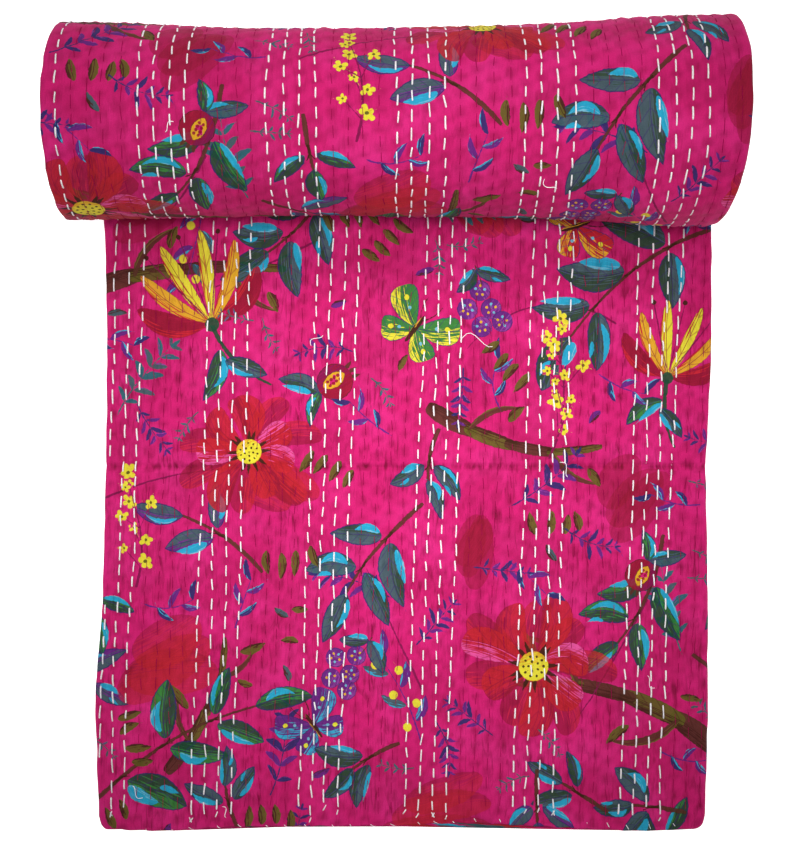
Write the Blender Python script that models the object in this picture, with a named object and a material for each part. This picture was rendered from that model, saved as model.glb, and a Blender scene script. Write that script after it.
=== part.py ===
"""Kantha quilt: a hand-quilted cotton cover, folded lengthwise in four and rolled from its far end.

The loose end lies flat on the surface, toward -Y, as a back-and-forth stack of four layers. The same stack runs on under
the roll, up its back, over its top and round inward as one spiral band. The rows of quilting are furrows in the two faces
that show: the top of the loose end, and the outermost turn of the roll. Metres, +Z up, the surface at z = 0.
"""

import math
from typing import NamedTuple

import bmesh
import bpy
from mathutils import Vector

# The quilt laid out flat, and the stack that it makes when it is folded in four.
QUILT_WIDTH = 2.286
LAYERS = 4
FOLDED_WIDTH = QUILT_WIDTH / LAYERS
LAYER = 0.0022
LAYER_GAP = 0.0004
LAYER_RISE = LAYER + LAYER_GAP
STACK = LAYERS * LAYER_RISE - LAYER_GAP

# Where the stack lies: its hem, the length that lies flat, and the roll's axis above the end of that length.
HEM_Y = -0.3616
FLAP_LENGTH = 0.6355
AXIS_Y = HEM_Y + FLAP_LENGTH
CENTRE_X = -0.0022

# The roll: its outer face where the winding starts, the pitch of its turns, and the hollow at its core.
ROLL_RADIUS = 0.0894
TURN_GAP = 0.00045
TURN_PITCH = STACK + TURN_GAP
CORE_RADIUS = 0.008
STEPS_PER_TURN = 20
STEP = math.tau / STEPS_PER_TURN
REST_ANGLE = STEP / 2
ROLL_TURNS = (ROLL_RADIUS - STACK - CORE_RADIUS) / TURN_PITCH
ROLL_STEPS = round(ROLL_TURNS * STEPS_PER_TURN)

# Under the roll's weight the stack is squeezed, from where the roll hides it to where the winding starts.
SQUEEZE = 0.94
HIDDEN_FROM = FLAP_LENGTH - 0.050
WINDING_FROM = FLAP_LENGTH - ROLL_RADIUS * math.sin(REST_ANGLE)

# The quilting: rows of running stitch along the quilt, each in a furrow.
ROW_PITCH = 0.0126
ROWS = round(FOLDED_WIDTH / ROW_PITCH)
FURROW = 0.0011

# How far the folds stand out beyond the straight stretch of the layers, and how far back the free edges lie.
OUTER_BULGE = 0.0045
OUTER_BULGE_INSIDE = OUTER_BULGE - LAYER
INNER_BULGE = OUTER_BULGE_INSIDE - LAYER_GAP
LEFT_BULGE = 0.0022
FREE_EDGE_0 = 0.0012
FREE_EDGE_1 = 0.0030
ARC_STEPS = 4

HEM_FADE = 0.09

FABRIC_COLOUR = (0.64, 0.010, 0.165, 1.0)
FABRIC_ROUGHNESS = 0.85


class Girth(NamedTuple):
    """The roll's thickness at one place across it, as a share of the nominal one."""

    across: float
    share: float


class Edge(NamedTuple):
    """Where a side edge lies, in x, at one distance along the stack from its hem."""

    along: float
    x: float


class Hem(NamedTuple):
    """How far the hem reaches beyond its mean line, at one place across it."""

    across: float
    reach: float


class Setback(NamedTuple):
    """How far back the hem of one layer lies, at that layer's height in the stack."""

    height: float
    back: float


class Corner(NamedTuple):
    """How far a rounded corner draws the side edges in, at one distance from the hem."""

    along: float
    inset: float


class Plumpness(NamedTuple):
    """The thickness of the loose end at one distance from its hem, as a share of the stack's."""

    along: float
    share: float


GIRTHS = (
    Girth(across=0.00, share=1.000),
    Girth(across=0.37, share=0.950),
    Girth(across=0.75, share=0.990),
    Girth(across=0.92, share=1.052),
    Girth(across=1.00, share=1.058),
)

LEFT_EDGE = (
    Edge(along=0.000, x=-0.2775),
    Edge(along=0.120, x=-0.2812),
    Edge(along=0.210, x=-0.2748),
    Edge(along=0.440, x=-0.2705),
    Edge(along=0.520, x=-0.2715),
    Edge(along=0.640, x=-0.2790),
    Edge(along=0.776, x=-0.2860),
    Edge(along=0.910, x=-0.2896),
    Edge(along=1.040, x=-0.2895),
    Edge(along=1.170, x=-0.2850),
    Edge(along=1.400, x=-0.2780),
    Edge(along=1.800, x=-0.2860),
    Edge(along=2.200, x=-0.2790),
    Edge(along=2.750, x=-0.2830),
)

RIGHT_EDGE = (
    Edge(along=0.000, x=0.2875),
    Edge(along=0.120, x=0.2905),
    Edge(along=0.210, x=0.2905),
    Edge(along=0.330, x=0.2887),
    Edge(along=0.440, x=0.2935),
    Edge(along=0.520, x=0.2940),
    Edge(along=0.640, x=0.2920),
    Edge(along=0.776, x=0.2880),
    Edge(along=0.910, x=0.2856),
    Edge(along=1.040, x=0.2790),
    Edge(along=1.170, x=0.2810),
    Edge(along=1.400, x=0.2870),
    Edge(along=1.800, x=0.2790),
    Edge(along=2.200, x=0.2850),
    Edge(along=2.750, x=0.2800),
)

HEM = (
    Hem(across=0.00, reach=0.0020),
    Hem(across=0.08, reach=0.0035),
    Hem(across=0.25, reach=-0.0005),
    Hem(across=0.45, reach=-0.0010),
    Hem(across=0.60, reach=-0.0035),
    Hem(across=0.75, reach=0.0000),
    Hem(across=0.90, reach=0.0035),
    Hem(across=1.00, reach=0.0015),
)

SETBACKS = (
    Setback(height=0.0, back=0.0005),
    Setback(height=LAYER_RISE, back=0.0022),
    Setback(height=2 * LAYER_RISE, back=0.0012),
    Setback(height=3 * LAYER_RISE, back=0.0000),
)

CORNERS = (
    Corner(along=0.000, inset=0.0060),
    Corner(along=0.004, inset=0.0020),
    Corner(along=0.012, inset=0.0000),
)

# One row for each station of the loose end. The thin one near the middle is the crease of an earlier fold.
PLUMPNESS = (
    Plumpness(along=0.000, share=0.84),
    Plumpness(along=0.004, share=0.94),
    Plumpness(along=0.012, share=1.00),
    Plumpness(along=0.120, share=1.02),
    Plumpness(along=0.210, share=0.99),
    Plumpness(along=0.327, share=1.03),
    Plumpness(along=0.336, share=0.85),
    Plumpness(along=0.345, share=1.03),
    Plumpness(along=0.440, share=1.01),
    Plumpness(along=0.520, share=1.00),
    Plumpness(along=HIDDEN_FROM, share=1.00),
)


def between(rows, at):
    """The second column of a table at a place in its first, on the straight line between its rows."""
    for (low, low_value), (high, high_value) in zip(rows, rows[1:]):
        if at <= high:
            share = max(0.0, (at - low) / (high - low))
            return low_value + share * (high_value - low_value)
    return rows[-1][1]


def side_edges(along):
    """The x of the left and the right edge of the stack, at a distance along it."""
    inset = between(CORNERS, along)
    return CENTRE_X + between(LEFT_EDGE, along) + inset, CENTRE_X + between(RIGHT_EDGE, along) - inset


# A run is one stretch of a section's outline: its points as (x, height), height counted up from the stack's underside.


def level(start, end, height):
    """A straight run of a layer's face, with a point wherever the roll's girth changes."""
    return [(start + row.across * (end - start), height) for row in GIRTHS]


def backward(run):
    """The same run, followed the other way."""
    return run[::-1]


def quilted(start, end, height, sink):
    """A run of a quilted face: a furrow at each row of stitches, and a crest between two rows."""
    steps = 2 * ROWS
    return [(start + i / steps * (end - start), height + sink * (i % 2)) for i in range(steps + 1)]


def bend(x, reach, low, high):
    """A rounded fold, from height low to height high, that stands out by reach from x."""
    middle = (low + high) / 2
    half = (high - low) / 2
    angles = [math.pi * (i / ARC_STEPS - 0.5) for i in range(ARC_STEPS + 1)]
    return [(x + reach * math.cos(a), middle + half * math.sin(a)) for a in angles]


def folded_section(along, fine):
    """The section of the loose end, as named runs in order round its outline.

    The lowest layer starts at its free edge on the left, turns up over the outer fold on the right and comes back as the
    top layer. That turns under on the left and runs right as the layer below, turns under again at the inner fold, and
    ends on the left as the second layer from below, at its free edge.
    """
    left, right = side_edges(along)
    bend_left = left + LEFT_BULGE
    bend_right = right - OUTER_BULGE
    free_0 = left + FREE_EDGE_0
    free_1 = left + FREE_EDGE_1
    floors = [layer * LAYER_RISE for layer in range(LAYERS)]
    tops = [floor + LAYER for floor in floors]
    top = quilted(bend_right, bend_left, STACK, -FURROW) if fine else backward(level(bend_left, bend_right, STACK))
    return {
        "under": level(free_0, bend_right, 0.0),
        "outer fold": bend(bend_right, OUTER_BULGE, 0.0, STACK),
        "top": top,
        "left fold": backward(bend(bend_left, -LEFT_BULGE, floors[2], STACK)),
        "floor 2": level(bend_left, bend_right, floors[2]),
        "inner fold inside": [(bend_right, floors[2]), (bend_right, tops[1])],
        "top 1": backward(level(free_1, bend_right, tops[1])),
        "free edge 1": [(free_1, tops[1]), (free_1, floors[1])],
        "floor 1": level(free_1, bend_right, floors[1]),
        "inner fold": bend(bend_right, INNER_BULGE, floors[1], tops[2]),
        "top 2": backward(level(bend_left, bend_right, tops[2])),
        "left fold inside": [(bend_left, tops[2]), (bend_left, floors[3])],
        "floor 3": level(bend_left, bend_right, floors[3]),
        "outer fold inside": backward(bend(bend_right, OUTER_BULGE_INSIDE, tops[0], floors[3])),
        "top 0": backward(level(free_0, bend_right, tops[0])),
        "free edge 0": [(free_0, tops[0]), (free_0, 0.0)],
    }


def wound_section(along, fine):
    """The section of the roll's band, as named runs in order round its outline: the whole stack as one."""
    left, right = side_edges(along)
    bend_left = left + LEFT_BULGE
    bend_right = right - OUTER_BULGE
    under = quilted(bend_left, bend_right, 0.0, FURROW) if fine else level(bend_left, bend_right, 0.0)
    return {
        "under": under,
        "outer fold": bend(bend_right, OUTER_BULGE, 0.0, STACK),
        "top": backward(level(bend_left, bend_right, STACK)),
        "left edge": [(bend_left, STACK), (left, 0.6 * STACK), (bend_left, 0.0)],
    }


def flat_place(x, height, along):
    """Where a point of the loose end's section lies."""
    left, right = side_edges(along)
    across = (x - left) / (right - left)
    fade = max(0.0, 1.0 - along / HEM_FADE)
    back = along + fade * (between(SETBACKS, height) - between(HEM, across))
    nearness = (along - HIDDEN_FROM) / (WINDING_FROM - HIDDEN_FROM)
    pressed = min(1.0, max(0.0, nearness))
    share = between(PLUMPNESS, along) * (1.0 - pressed) + SQUEEZE * between(GIRTHS, across) * pressed
    return Vector((x, HEM_Y + back, height * share))


def outer_radius(turned):
    """The radius of the stack's underside, at an angle round from straight below the roll's axis."""
    return ROLL_RADIUS - TURN_PITCH * (turned - REST_ANGLE) / math.tau


def rolled_length(turned):
    """The length of the stack's middle from below the axis to an angle round the roll."""
    return (ROLL_RADIUS - STACK / 2) * turned - TURN_PITCH * turned**2 / (2 * math.tau)


def wound_place(x, height, turned):
    """Where a point of the roll's section lies."""
    left, right = side_edges(FLAP_LENGTH + rolled_length(turned))
    share = between(GIRTHS, (x - left) / (right - left))
    radius = share * (outer_radius(turned) - height)
    axis_z = share * ROLL_RADIUS * math.cos(REST_ANGLE)
    return Vector((x, AXIS_Y + radius * math.sin(turned), axis_z - radius * math.cos(turned)))


class Ring:
    """The vertices of one section, run by run. Each run also ends on the vertex that starts the next."""

    def __init__(self, mesh, section, place, station):
        self.runs = {}
        loop = []
        for name, run in section.items():
            self.runs[name] = len(loop)
            for x, height in run:
                at = place(x, height, station)
                if not loop or (loop[-1].co - at).length > 1e-7:
                    loop.append(mesh.verts.new(at))
                elif len(loop) == self.runs[name]:
                    self.runs[name] -= 1
        if (loop[0].co - loop[-1].co).length <= 1e-7:
            mesh.verts.remove(loop.pop())
        self.loop = loop
        self.counts = {name: len(run) for name, run in section.items()}

    def run(self, *names):
        """The vertices of the named runs, which follow each other, from first to last."""
        first = self.runs[names[0]]
        last = self.runs[names[-1]] + self.counts[names[-1]]
        return [self.loop[i % len(self.loop)] for i in range(first, last)]


def shares(chain):
    """How far along a chain of vertices each one lies, from 0 to 1."""
    lengths = [0.0]
    for one, other in zip(chain, chain[1:]):
        lengths.append(lengths[-1] + (other.co - one.co).length)
    return [length / lengths[-1] for length in lengths]


def lace(mesh, first, second):
    """Faces between two chains of vertices that run side by side, whatever the number in each."""
    if len(first) == len(second):
        for (a, b), (c, d) in zip(zip(first, first[1:]), zip(second, second[1:])):
            mesh.faces.new((a, b, d, c))
        return
    first_at, second_at = shares(first), shares(second)
    i = j = 0
    while i < len(first) - 1 or j < len(second) - 1:
        next_first = first_at[i + 1] if i < len(first) - 1 else math.inf
        next_second = second_at[j + 1] if j < len(second) - 1 else math.inf
        if next_first <= next_second:
            mesh.faces.new((first[i], first[i + 1], second[j]))
            i += 1
        else:
            mesh.faces.new((first[i], second[j + 1], second[j]))
            j += 1


def join(mesh, ring, other):
    """Faces between two rings that have the same runs."""
    for name in ring.runs:
        lace(mesh, ring.run(name), other.run(name))


def close_hem(mesh, ring):
    """The cut end of the cloth at the hem, layer by layer and fold by fold."""
    pairs = (
        ("under", "top 0"),
        ("outer fold", "outer fold inside"),
        ("top", "floor 3"),
        ("left fold", "left fold inside"),
        ("floor 2", "top 2"),
        ("inner fold inside", "inner fold"),
        ("top 1", "floor 1"),
    )
    for outside, inside in pairs:
        lace(mesh, ring.run(outside), ring.run(inside)[::-1])


def start_winding(mesh, flat, wound):
    """Faces from the folded section to the band: its outside goes on, and the spaces between the layers end."""
    for name in ("under", "outer fold", "top"):
        lace(mesh, flat.run(name), wound.run(name))
    left = flat.run("left fold") + flat.run("free edge 1") + flat.run("free edge 0")
    lace(mesh, left, wound.run("left edge"))
    lace(mesh, flat.run("floor 2"), flat.run("top 1")[::-1])
    outside = flat.run("floor 3", "outer fold inside", "top 0")[::-1]
    lace(mesh, outside, flat.run("floor 1", "inner fold", "top 2"))


def close_core(mesh, ring):
    """The end of the band at the core of the roll."""
    lace(mesh, ring.run("under"), ring.run("top")[::-1])
    mesh.faces.new(ring.run("outer fold"))
    mesh.faces.new(ring.run("left edge"))


def build_mesh():
    """The whole quilt as one closed mesh, from the hem to the core of the roll."""
    mesh = bmesh.new()
    ring = None
    for row in PLUMPNESS:
        following = Ring(mesh, folded_section(row.along, fine=True), flat_place, row.along)
        if ring:
            join(mesh, ring, following)
        else:
            close_hem(mesh, following)
        ring = following
    pressed = Ring(mesh, folded_section(WINDING_FROM, fine=False), flat_place, WINDING_FROM)
    join(mesh, ring, pressed)
    ring = None
    for step in range(ROLL_STEPS + 1):
        turned = REST_ANGLE + step * STEP
        section = wound_section(FLAP_LENGTH + rolled_length(turned), fine=step < STEPS_PER_TURN)
        following = Ring(mesh, section, wound_place, turned)
        if ring:
            join(mesh, ring, following)
        else:
            start_winding(mesh, pressed, following)
        ring = following
    close_core(mesh, ring)
    bmesh.ops.recalc_face_normals(mesh, faces=mesh.faces)
    return mesh


def fabric():
    """The quilt's deep pink cotton."""
    material = bpy.data.materials.new("pink_cotton")
    material.use_nodes = True
    shader = material.node_tree.nodes["Principled BSDF"]
    shader.inputs["Base Color"].default_value = FABRIC_COLOUR
    shader.inputs["Roughness"].default_value = FABRIC_ROUGHNESS
    return material


def main():
    """Clears the scene and builds the quilt in it."""
    for obj in list(bpy.data.objects):
        bpy.data.objects.remove(obj)
    built = build_mesh()
    data = bpy.data.meshes.new("quilt")
    built.to_mesh(data)
    built.free()
    data.materials.append(fabric())
    quilt = bpy.data.objects.new("quilt", data)
    bpy.context.scene.collection.objects.link(quilt)


main()
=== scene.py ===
"""Kantha quilt: the finish of a hand-quilted cotton cover, folded in four and rolled from its far end.

The cloth is one skin. It starts at the hem as a flat stack of four layers, and the same stack winds up into
the roll. Rows of running stitch draw the two faces that show into furrows.
Metres, +Z up, the surface at z = 0.
"""

import logging
import math
from collections.abc import Sequence
from dataclasses import dataclass, field
from enum import Enum
from functools import cached_property
from typing import Any, NamedTuple

import bpy
import numpy as np
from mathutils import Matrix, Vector


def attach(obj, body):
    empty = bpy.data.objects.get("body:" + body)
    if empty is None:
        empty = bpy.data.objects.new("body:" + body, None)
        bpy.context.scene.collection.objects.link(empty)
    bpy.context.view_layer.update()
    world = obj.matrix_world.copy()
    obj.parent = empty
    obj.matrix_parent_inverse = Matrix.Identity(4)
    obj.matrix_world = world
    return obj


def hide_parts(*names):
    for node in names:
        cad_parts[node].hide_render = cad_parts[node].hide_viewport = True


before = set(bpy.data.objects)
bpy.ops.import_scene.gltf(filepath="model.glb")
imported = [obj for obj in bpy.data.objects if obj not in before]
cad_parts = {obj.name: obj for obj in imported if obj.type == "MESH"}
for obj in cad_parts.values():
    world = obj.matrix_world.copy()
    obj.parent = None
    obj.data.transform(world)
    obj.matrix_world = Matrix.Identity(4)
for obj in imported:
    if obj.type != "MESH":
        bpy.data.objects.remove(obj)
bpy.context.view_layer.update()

Array = np.ndarray
Paint = tuple[float, float, float, float]
Place = tuple[float, float, float]
Settings = dict[str, Any] | None
Inputs = dict[str | int, Any] | None

log = logging.getLogger("quilt")

BODY = "root"
QUILT_NODE = "quilt"


# ---- small shapes and sums


def eased(value: Array) -> Array:
    """Numbers from 0 to 1 that start and stop gently, from ones that may run past both."""
    held = np.clip(value, 0.0, 1.0)
    return held * held * (3.0 - 2.0 * held)


@dataclass(frozen=True)
class Profile:
    """A value that follows a place through the rows (place, value) of a short table."""

    rows: tuple[tuple[float, float], ...]
    straight: bool = False

    def __call__(self, place: Array | float) -> Array:
        """Reads the table between its rows.

        Args:
            place: Where to read it. Beyond the table's ends it holds its end values.

        Returns:
            The values there, on a smooth curve that never overshoots a row, or on straight lines.
        """
        at, value = np.array(self.rows, dtype=float).T
        if self.straight:
            return np.interp(place, at, value)
        step = np.diff(at)
        slope = np.diff(value) / step
        same_way = slope[:-1] * slope[1:] > 0
        both = np.where(same_way, slope[:-1] + slope[1:], 1.0)
        inner = np.where(same_way, 2.0 * slope[:-1] * slope[1:] / both, 0.0)
        tangent = np.concatenate(([slope[0]], inner, [slope[-1]]))
        held = np.clip(place, at[0], at[-1])
        i = np.clip(np.searchsorted(at, held, side="right") - 1, 0, len(step) - 1)
        t = (held - at[i]) / step[i]
        from_start = (1.0 + 2.0 * t) * (1.0 - t) ** 2 * value[i] + t * (1.0 - t) ** 2 * step[i] * tangent[i]
        from_end = t * t * (3.0 - 2.0 * t) * value[i + 1] + t * t * (t - 1.0) * step[i] * tangent[i + 1]
        return from_start + from_end


@dataclass(frozen=True)
class Ripple:
    """A smooth uneven wave over a face: a few sine waves whose lengths and directions come from a seed.

    Attributes:
        height: About how high it stands.
        across: About how long its waves are across the face.
        along: How long they are along it.
        seed: The seed.
        waves: How many sine waves there are.
    """

    height: float
    across: float
    along: float
    seed: int
    waves: int = 9

    def __call__(self, x: Array | float, y: Array | float) -> Array:
        """Works out the wave.

        Args:
            x: Places across the face.
            y: Places along it.

        Returns:
            The heights there.
        """
        draw = np.random.default_rng(self.seed)
        total = np.zeros(np.broadcast(x, y).shape)
        for _ in range(self.waves):
            pull_x, pull_y = draw.normal(0.0, 0.6, 2) + draw.choice((-0.7, 0.7), 2)
            phase = draw.uniform(0.0, math.tau)
            total += np.sin(math.tau * (pull_x * x / self.across + pull_y * y / self.along) + phase)
        return total * self.height * math.sqrt(2.0 / self.waves) / 2.0


def lengths(points: Array) -> Array:
    """The distance along a chain of points, from its first."""
    return np.concatenate(([0.0], np.cumsum(np.linalg.norm(np.diff(points, axis=0), axis=1))))


def level(start: float, end: float, height: float, shares: Array) -> Array:
    """A level run of a section, as rows of x and height, at shares of the way from its start to its end."""
    return np.stack([start + shares * (end - start), np.full(len(shares), height)], axis=1)


def bend(x: float, reach: float, low: float, high: float, steps: int = 7) -> Array:
    """A run round a fold.

    Args:
        x: Where the fold starts and ends.
        reach: How far it stands out from there, to the right.
        low: The height where it starts.
        high: The height where it ends.
        steps: The number of its faces.

    Returns:
        Rows of x and height.
    """
    angles = math.pi * (np.arange(steps + 1) / steps - 0.5)
    heights = (low + high) / 2 + (high - low) / 2 * np.sin(angles)
    return np.stack([x + reach * np.cos(angles), heights], axis=1)


def joint(x: float, high: float, low: float, reach: float = 0.0) -> Array:
    """A short run straight down, or down a free edge that reaches a little to the left."""
    return np.array([(x, high), (x - reach, (high + low) / 2), (x, low)])


def point_mesh(name: str, points: Array) -> bpy.types.Mesh:
    """A new mesh of loose points.

    Args:
        name: Its name.
        points: Rows of x, y and z.

    Returns:
        The mesh.
    """
    mesh = bpy.data.meshes.new(name)
    mesh.vertices.add(len(points))
    mesh.vertices.foreach_set("co", points.astype(np.float32).ravel())
    return mesh


def store(mesh: bpy.types.Mesh, name: str, kind: str, domain: str, rows: Array) -> None:
    """Adds an attribute to a mesh, with one row for each point, corner or face."""
    part = {"FLOAT": "value", "FLOAT_VECTOR": "vector", "FLOAT_COLOR": "color"}[kind]
    mesh.attributes.new(name, kind, domain).data.foreach_set(part, rows.astype(np.float32).ravel())


# ---- the folded and rolled shape


class Panel(Enum):
    """The two faces of the quilt that show."""

    FLAP = 0
    ROLL = 1


# A place on the cloth has an x across it and a y along it, in metres. The loose end's face has the lowest.
# The roll's face starts at y = 1, what doesn't show at x = 2, and the two splits part them.
ROLL_PRINT_FROM = 1.0
ROLL_SPLIT = 0.9
HIDDEN_PRINT_FROM = 2.0
HIDDEN_SPLIT = 1.5


@dataclass(frozen=True)
class Rows:
    """The rows of running stitch on one face, each a line along the quilt.

    Four rows in white thread are followed by four in the ground's colour, over and over.
    """

    first: float
    pitch: float
    drift: float
    reference: float
    wander: Ripple
    group: int = 4
    lowest: int = -10
    highest: int = 40

    def laid(self, sewn: Array | float, along: Array | float) -> Array:
        """Where, in x, a line at the sewn measure lies at a distance along the face."""
        return sewn + self.drift * (along - self.reference) + self.wander(sewn, along)

    def sewn(self, x: Array | float, along: Array | float) -> Array:
        """The sewn measure of a place, in which every row is a straight line."""
        straight = x - self.drift * (along - self.reference)
        return straight - self.wander(straight, along)

    def is_white(self, row: int) -> bool:
        """Whether a row is sewn in white thread."""
        return row % (2 * self.group) < self.group


@dataclass(frozen=True)
class Station:
    """One section of the cloth.

    Attributes:
        along: Its distance from the hem, along the middle of the stack.
        turned: On the roll, how far round it has come from straight below the axis.
        top: Whether the top face is quilted here.
        under: Whether the underside, which the roll shows, is quilted here.
    """

    along: float
    turned: float | None = None
    top: bool = False
    under: bool = False


@dataclass(frozen=True)
class FoldedShape:
    """The quilt's form: four layers folded back and forth, flat at the hem and wound up at the far end.

    Attributes:
        rest_angle: How far to each side of its lowest line the roll is pressed flat.
        squeeze: The share of its thickness that the stack keeps under the roll.
        squeezed_over: The length over which it thins to that.
        outer_bulge: How far the fold on the right stands out, as left_bulge on the left.
        free_edge_0: How far in from the left the lowest layer ends, and the next one free_edge_1.
        edge_fade: The width over which furrows run out at the edges, as over hem_rise at the hem.
        hem_fade: How far from the hem its waviness reaches.
        furrow: How deep a row of stitches draws the cloth in.
        deepest: The depth that furrows and puckers together stay above.
        row_shift: How far a row's stitches are shifted from the last row's, as an angle.
        girth: The roll's thickness, as a share of its radius, across the quilt from 0 to 1.
        hem: How far the hem strays from its line, likewise.
        setback: How far a layer's end lies back, by its height in the stack.
        corner: How far the hem's corners are rounded off, by the distance from the hem.
        plumpness: The share of its thickness that the loose end has, likewise, least at the crease.
    """

    quilt_width: float = 2.286
    quilt_length: float = 2.743
    layers: int = 4
    layer: float = 0.0022
    layer_gap: float = 0.0004
    hem_y: float = -0.3616
    flap_length: float = 0.6355
    centre_x: float = -0.0022
    roll_radius: float = 0.0894
    turn_gap: float = 0.00045
    core_radius: float = 0.008
    rest_angle: float = math.tau / 40
    squeeze: float = 0.94
    squeezed_over: float = 0.050
    outer_bulge: float = 0.0045
    left_bulge: float = 0.0022
    free_edge_0: float = 0.0012
    free_edge_1: float = 0.0030
    edge_round: float = 0.0006
    edge_fade: float = 0.006
    hem_rise: float = 0.004
    hem_fade: float = 0.09
    scallop: float = 0.0005
    scallop_pitch: float = 0.021
    crease_at: float = 0.3360
    furrow: float = 0.0006
    furrow_sharpness: float = 1.8
    deepest: float = 0.0017
    stitch_period: float = 0.0161
    row_shift: float = 2.3
    rows_across: int = 45
    columns_per_row: int = 5
    backing_steps: int = 14

    girth: Profile = Profile(((0.0, 1.0), (0.37, 0.95), (0.75, 0.99), (0.92, 1.052), (1.0, 1.058)))
    left_edge: Profile = Profile((
        (0.0, -0.2775), (0.12, -0.2812), (0.21, -0.2748), (0.44, -0.2705), (0.52, -0.2715),
        (0.64, -0.2790), (0.776, -0.2860), (0.91, -0.2896), (1.04, -0.2895), (1.17, -0.2850),
        (1.4, -0.2780), (1.8, -0.2860), (2.2, -0.2790), (2.75, -0.2830),
    ))
    right_edge: Profile = Profile((
        (0.0, 0.2875), (0.12, 0.2905), (0.21, 0.2905), (0.33, 0.2887), (0.44, 0.2935),
        (0.52, 0.2940), (0.64, 0.2920), (0.776, 0.2880), (0.91, 0.2856), (1.04, 0.2790),
        (1.17, 0.2810), (1.4, 0.2870), (1.8, 0.2790), (2.2, 0.2850), (2.75, 0.2800),
    ))
    hem: Profile = Profile((
        (0.0, 0.0020), (0.08, 0.0035), (0.25, -0.0005), (0.45, -0.0010),
        (0.6, -0.0035), (0.75, 0.0), (0.9, 0.0035), (1.0, 0.0015),
    ))
    setback: Profile = Profile(
        ((0.0, 0.0005), (0.0026, 0.0022), (0.0052, 0.0012), (0.0078, 0.0)), straight=True
    )
    corner: Profile = Profile(((0.0, 0.0060), (0.001, 0.0042), (0.004, 0.0018), (0.012, 0.0)))
    plumpness: Profile = Profile((
        (0.0, 0.86), (0.004, 0.95), (0.012, 1.0), (0.12, 1.02), (0.21, 0.99), (0.322, 1.03),
        (0.3325, 1.01), (0.3360, 0.83), (0.3395, 1.01), (0.350, 1.03), (0.44, 1.01), (0.52, 1.0),
    ))

    flap_rows: Rows = Rows(
        first=-0.1747, pitch=0.01248, drift=0.037, reference=0.552, wander=Ripple(0.0016, 0.060, 0.17, seed=3)
    )
    roll_rows: Rows = Rows(
        first=-0.2138, pitch=0.01319, drift=0.0, reference=0.0, wander=Ripple(0.0016, 0.055, 0.24, seed=8)
    )
    flap_swell: Ripple = Ripple(0.0008, 0.11, 0.13, seed=21)
    roll_swell: Ripple = Ripple(0.0010, 0.12, 0.10, seed=22)
    pucker: Ripple = Ripple(0.00065, 0.013, 0.021, seed=23, waves=14)
    crease_waver: Ripple = Ripple(0.0022, 0.16, 1.0, seed=24)
    edge_waver: Ripple = Ripple(0.0009, 0.010, 0.045, seed=25)

    @property
    def layer_rise(self) -> float:
        """The height from one layer's underside to the next one's."""
        return self.layer + self.layer_gap

    @property
    def stack(self) -> float:
        """The thickness of the four layers."""
        return self.layers * self.layer_rise - self.layer_gap

    @property
    def turn_pitch(self) -> float:
        """How much a turn adds to the roll's radius."""
        return self.stack + self.turn_gap

    @property
    def axis_y(self) -> float:
        """Where the roll's axis lies."""
        return self.hem_y + self.flap_length

    @property
    def print_radius(self) -> float:
        """The mean radius of the outermost face, which turns angles into cloth lengths there."""
        return self.roll_radius - self.turn_pitch / 2

    @property
    def turned_total(self) -> float:
        """How far round the roll goes in all, from straight below its axis to its core."""
        turns = (self.roll_radius - self.stack - self.core_radius) / self.turn_pitch
        return self.rest_angle + turns * math.tau

    @property
    def winding_from(self) -> float:
        """The distance along the stack at which it starts to wind."""
        return self.flap_length - self.roll_radius * math.sin(self.rest_angle)

    @cached_property
    def length(self) -> float:
        """The stack's whole length."""
        return float(self.flap_length + self.rolled_length(self.turned_total))

    def rows(self, panel: Panel) -> Rows:
        """The rows of stitches on a face."""
        return self.flap_rows if panel is Panel.FLAP else self.roll_rows

    def edges(self, along: Array | float) -> tuple[Array, Array]:
        """The x of the left and the right edge, at a distance along the stack."""
        inset = self.corner(along)
        return self.centre_x + self.left_edge(along) + inset, self.centre_x + self.right_edge(along) - inset

    def rolled_length(self, turned: Array | float) -> Array:
        """The length of the stack's middle, from below the axis to an angle round the roll."""
        return (self.roll_radius - self.stack / 2) * turned - self.turn_pitch * turned**2 / (2 * math.tau)

    def outer_radius(self, turned: Array | float) -> Array:
        """The radius of the stack's underside, at an angle round from straight below the axis."""
        return self.roll_radius - self.turn_pitch * (turned - self.rest_angle) / math.tau

    def flatness(self, turned: Array | float) -> Array:
        """How much nearer the axis a turn lies at its bottom, where the roll's weight presses it flat."""
        off = np.remainder(turned + math.pi, math.tau) - math.pi
        return np.minimum(1.0, math.cos(self.rest_angle) / np.cos(np.clip(off, -1.0, 1.0)))

    def end_thickness(self, along: float) -> float:
        """How thick a layer is near its two rounded ends.

        Args:
            along: The distance from the hem.

        Returns:
            The share of its thickness that is left.
        """
        thinnest = 0.12
        nearest = max(0.0, min(along, self.length - along))
        left = max(0.0, 1.0 - nearest / (self.layer / 2))
        return max(thinnest, math.sqrt(1.0 - min(1.0, left * left)))

    def stitch_wave(self, row: Array, v: Array | float) -> Array:
        """A wave along each row that swings once for each stitch and its gap."""
        return np.sin(math.tau * v / self.stitch_period + self.row_shift * row)

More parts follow.
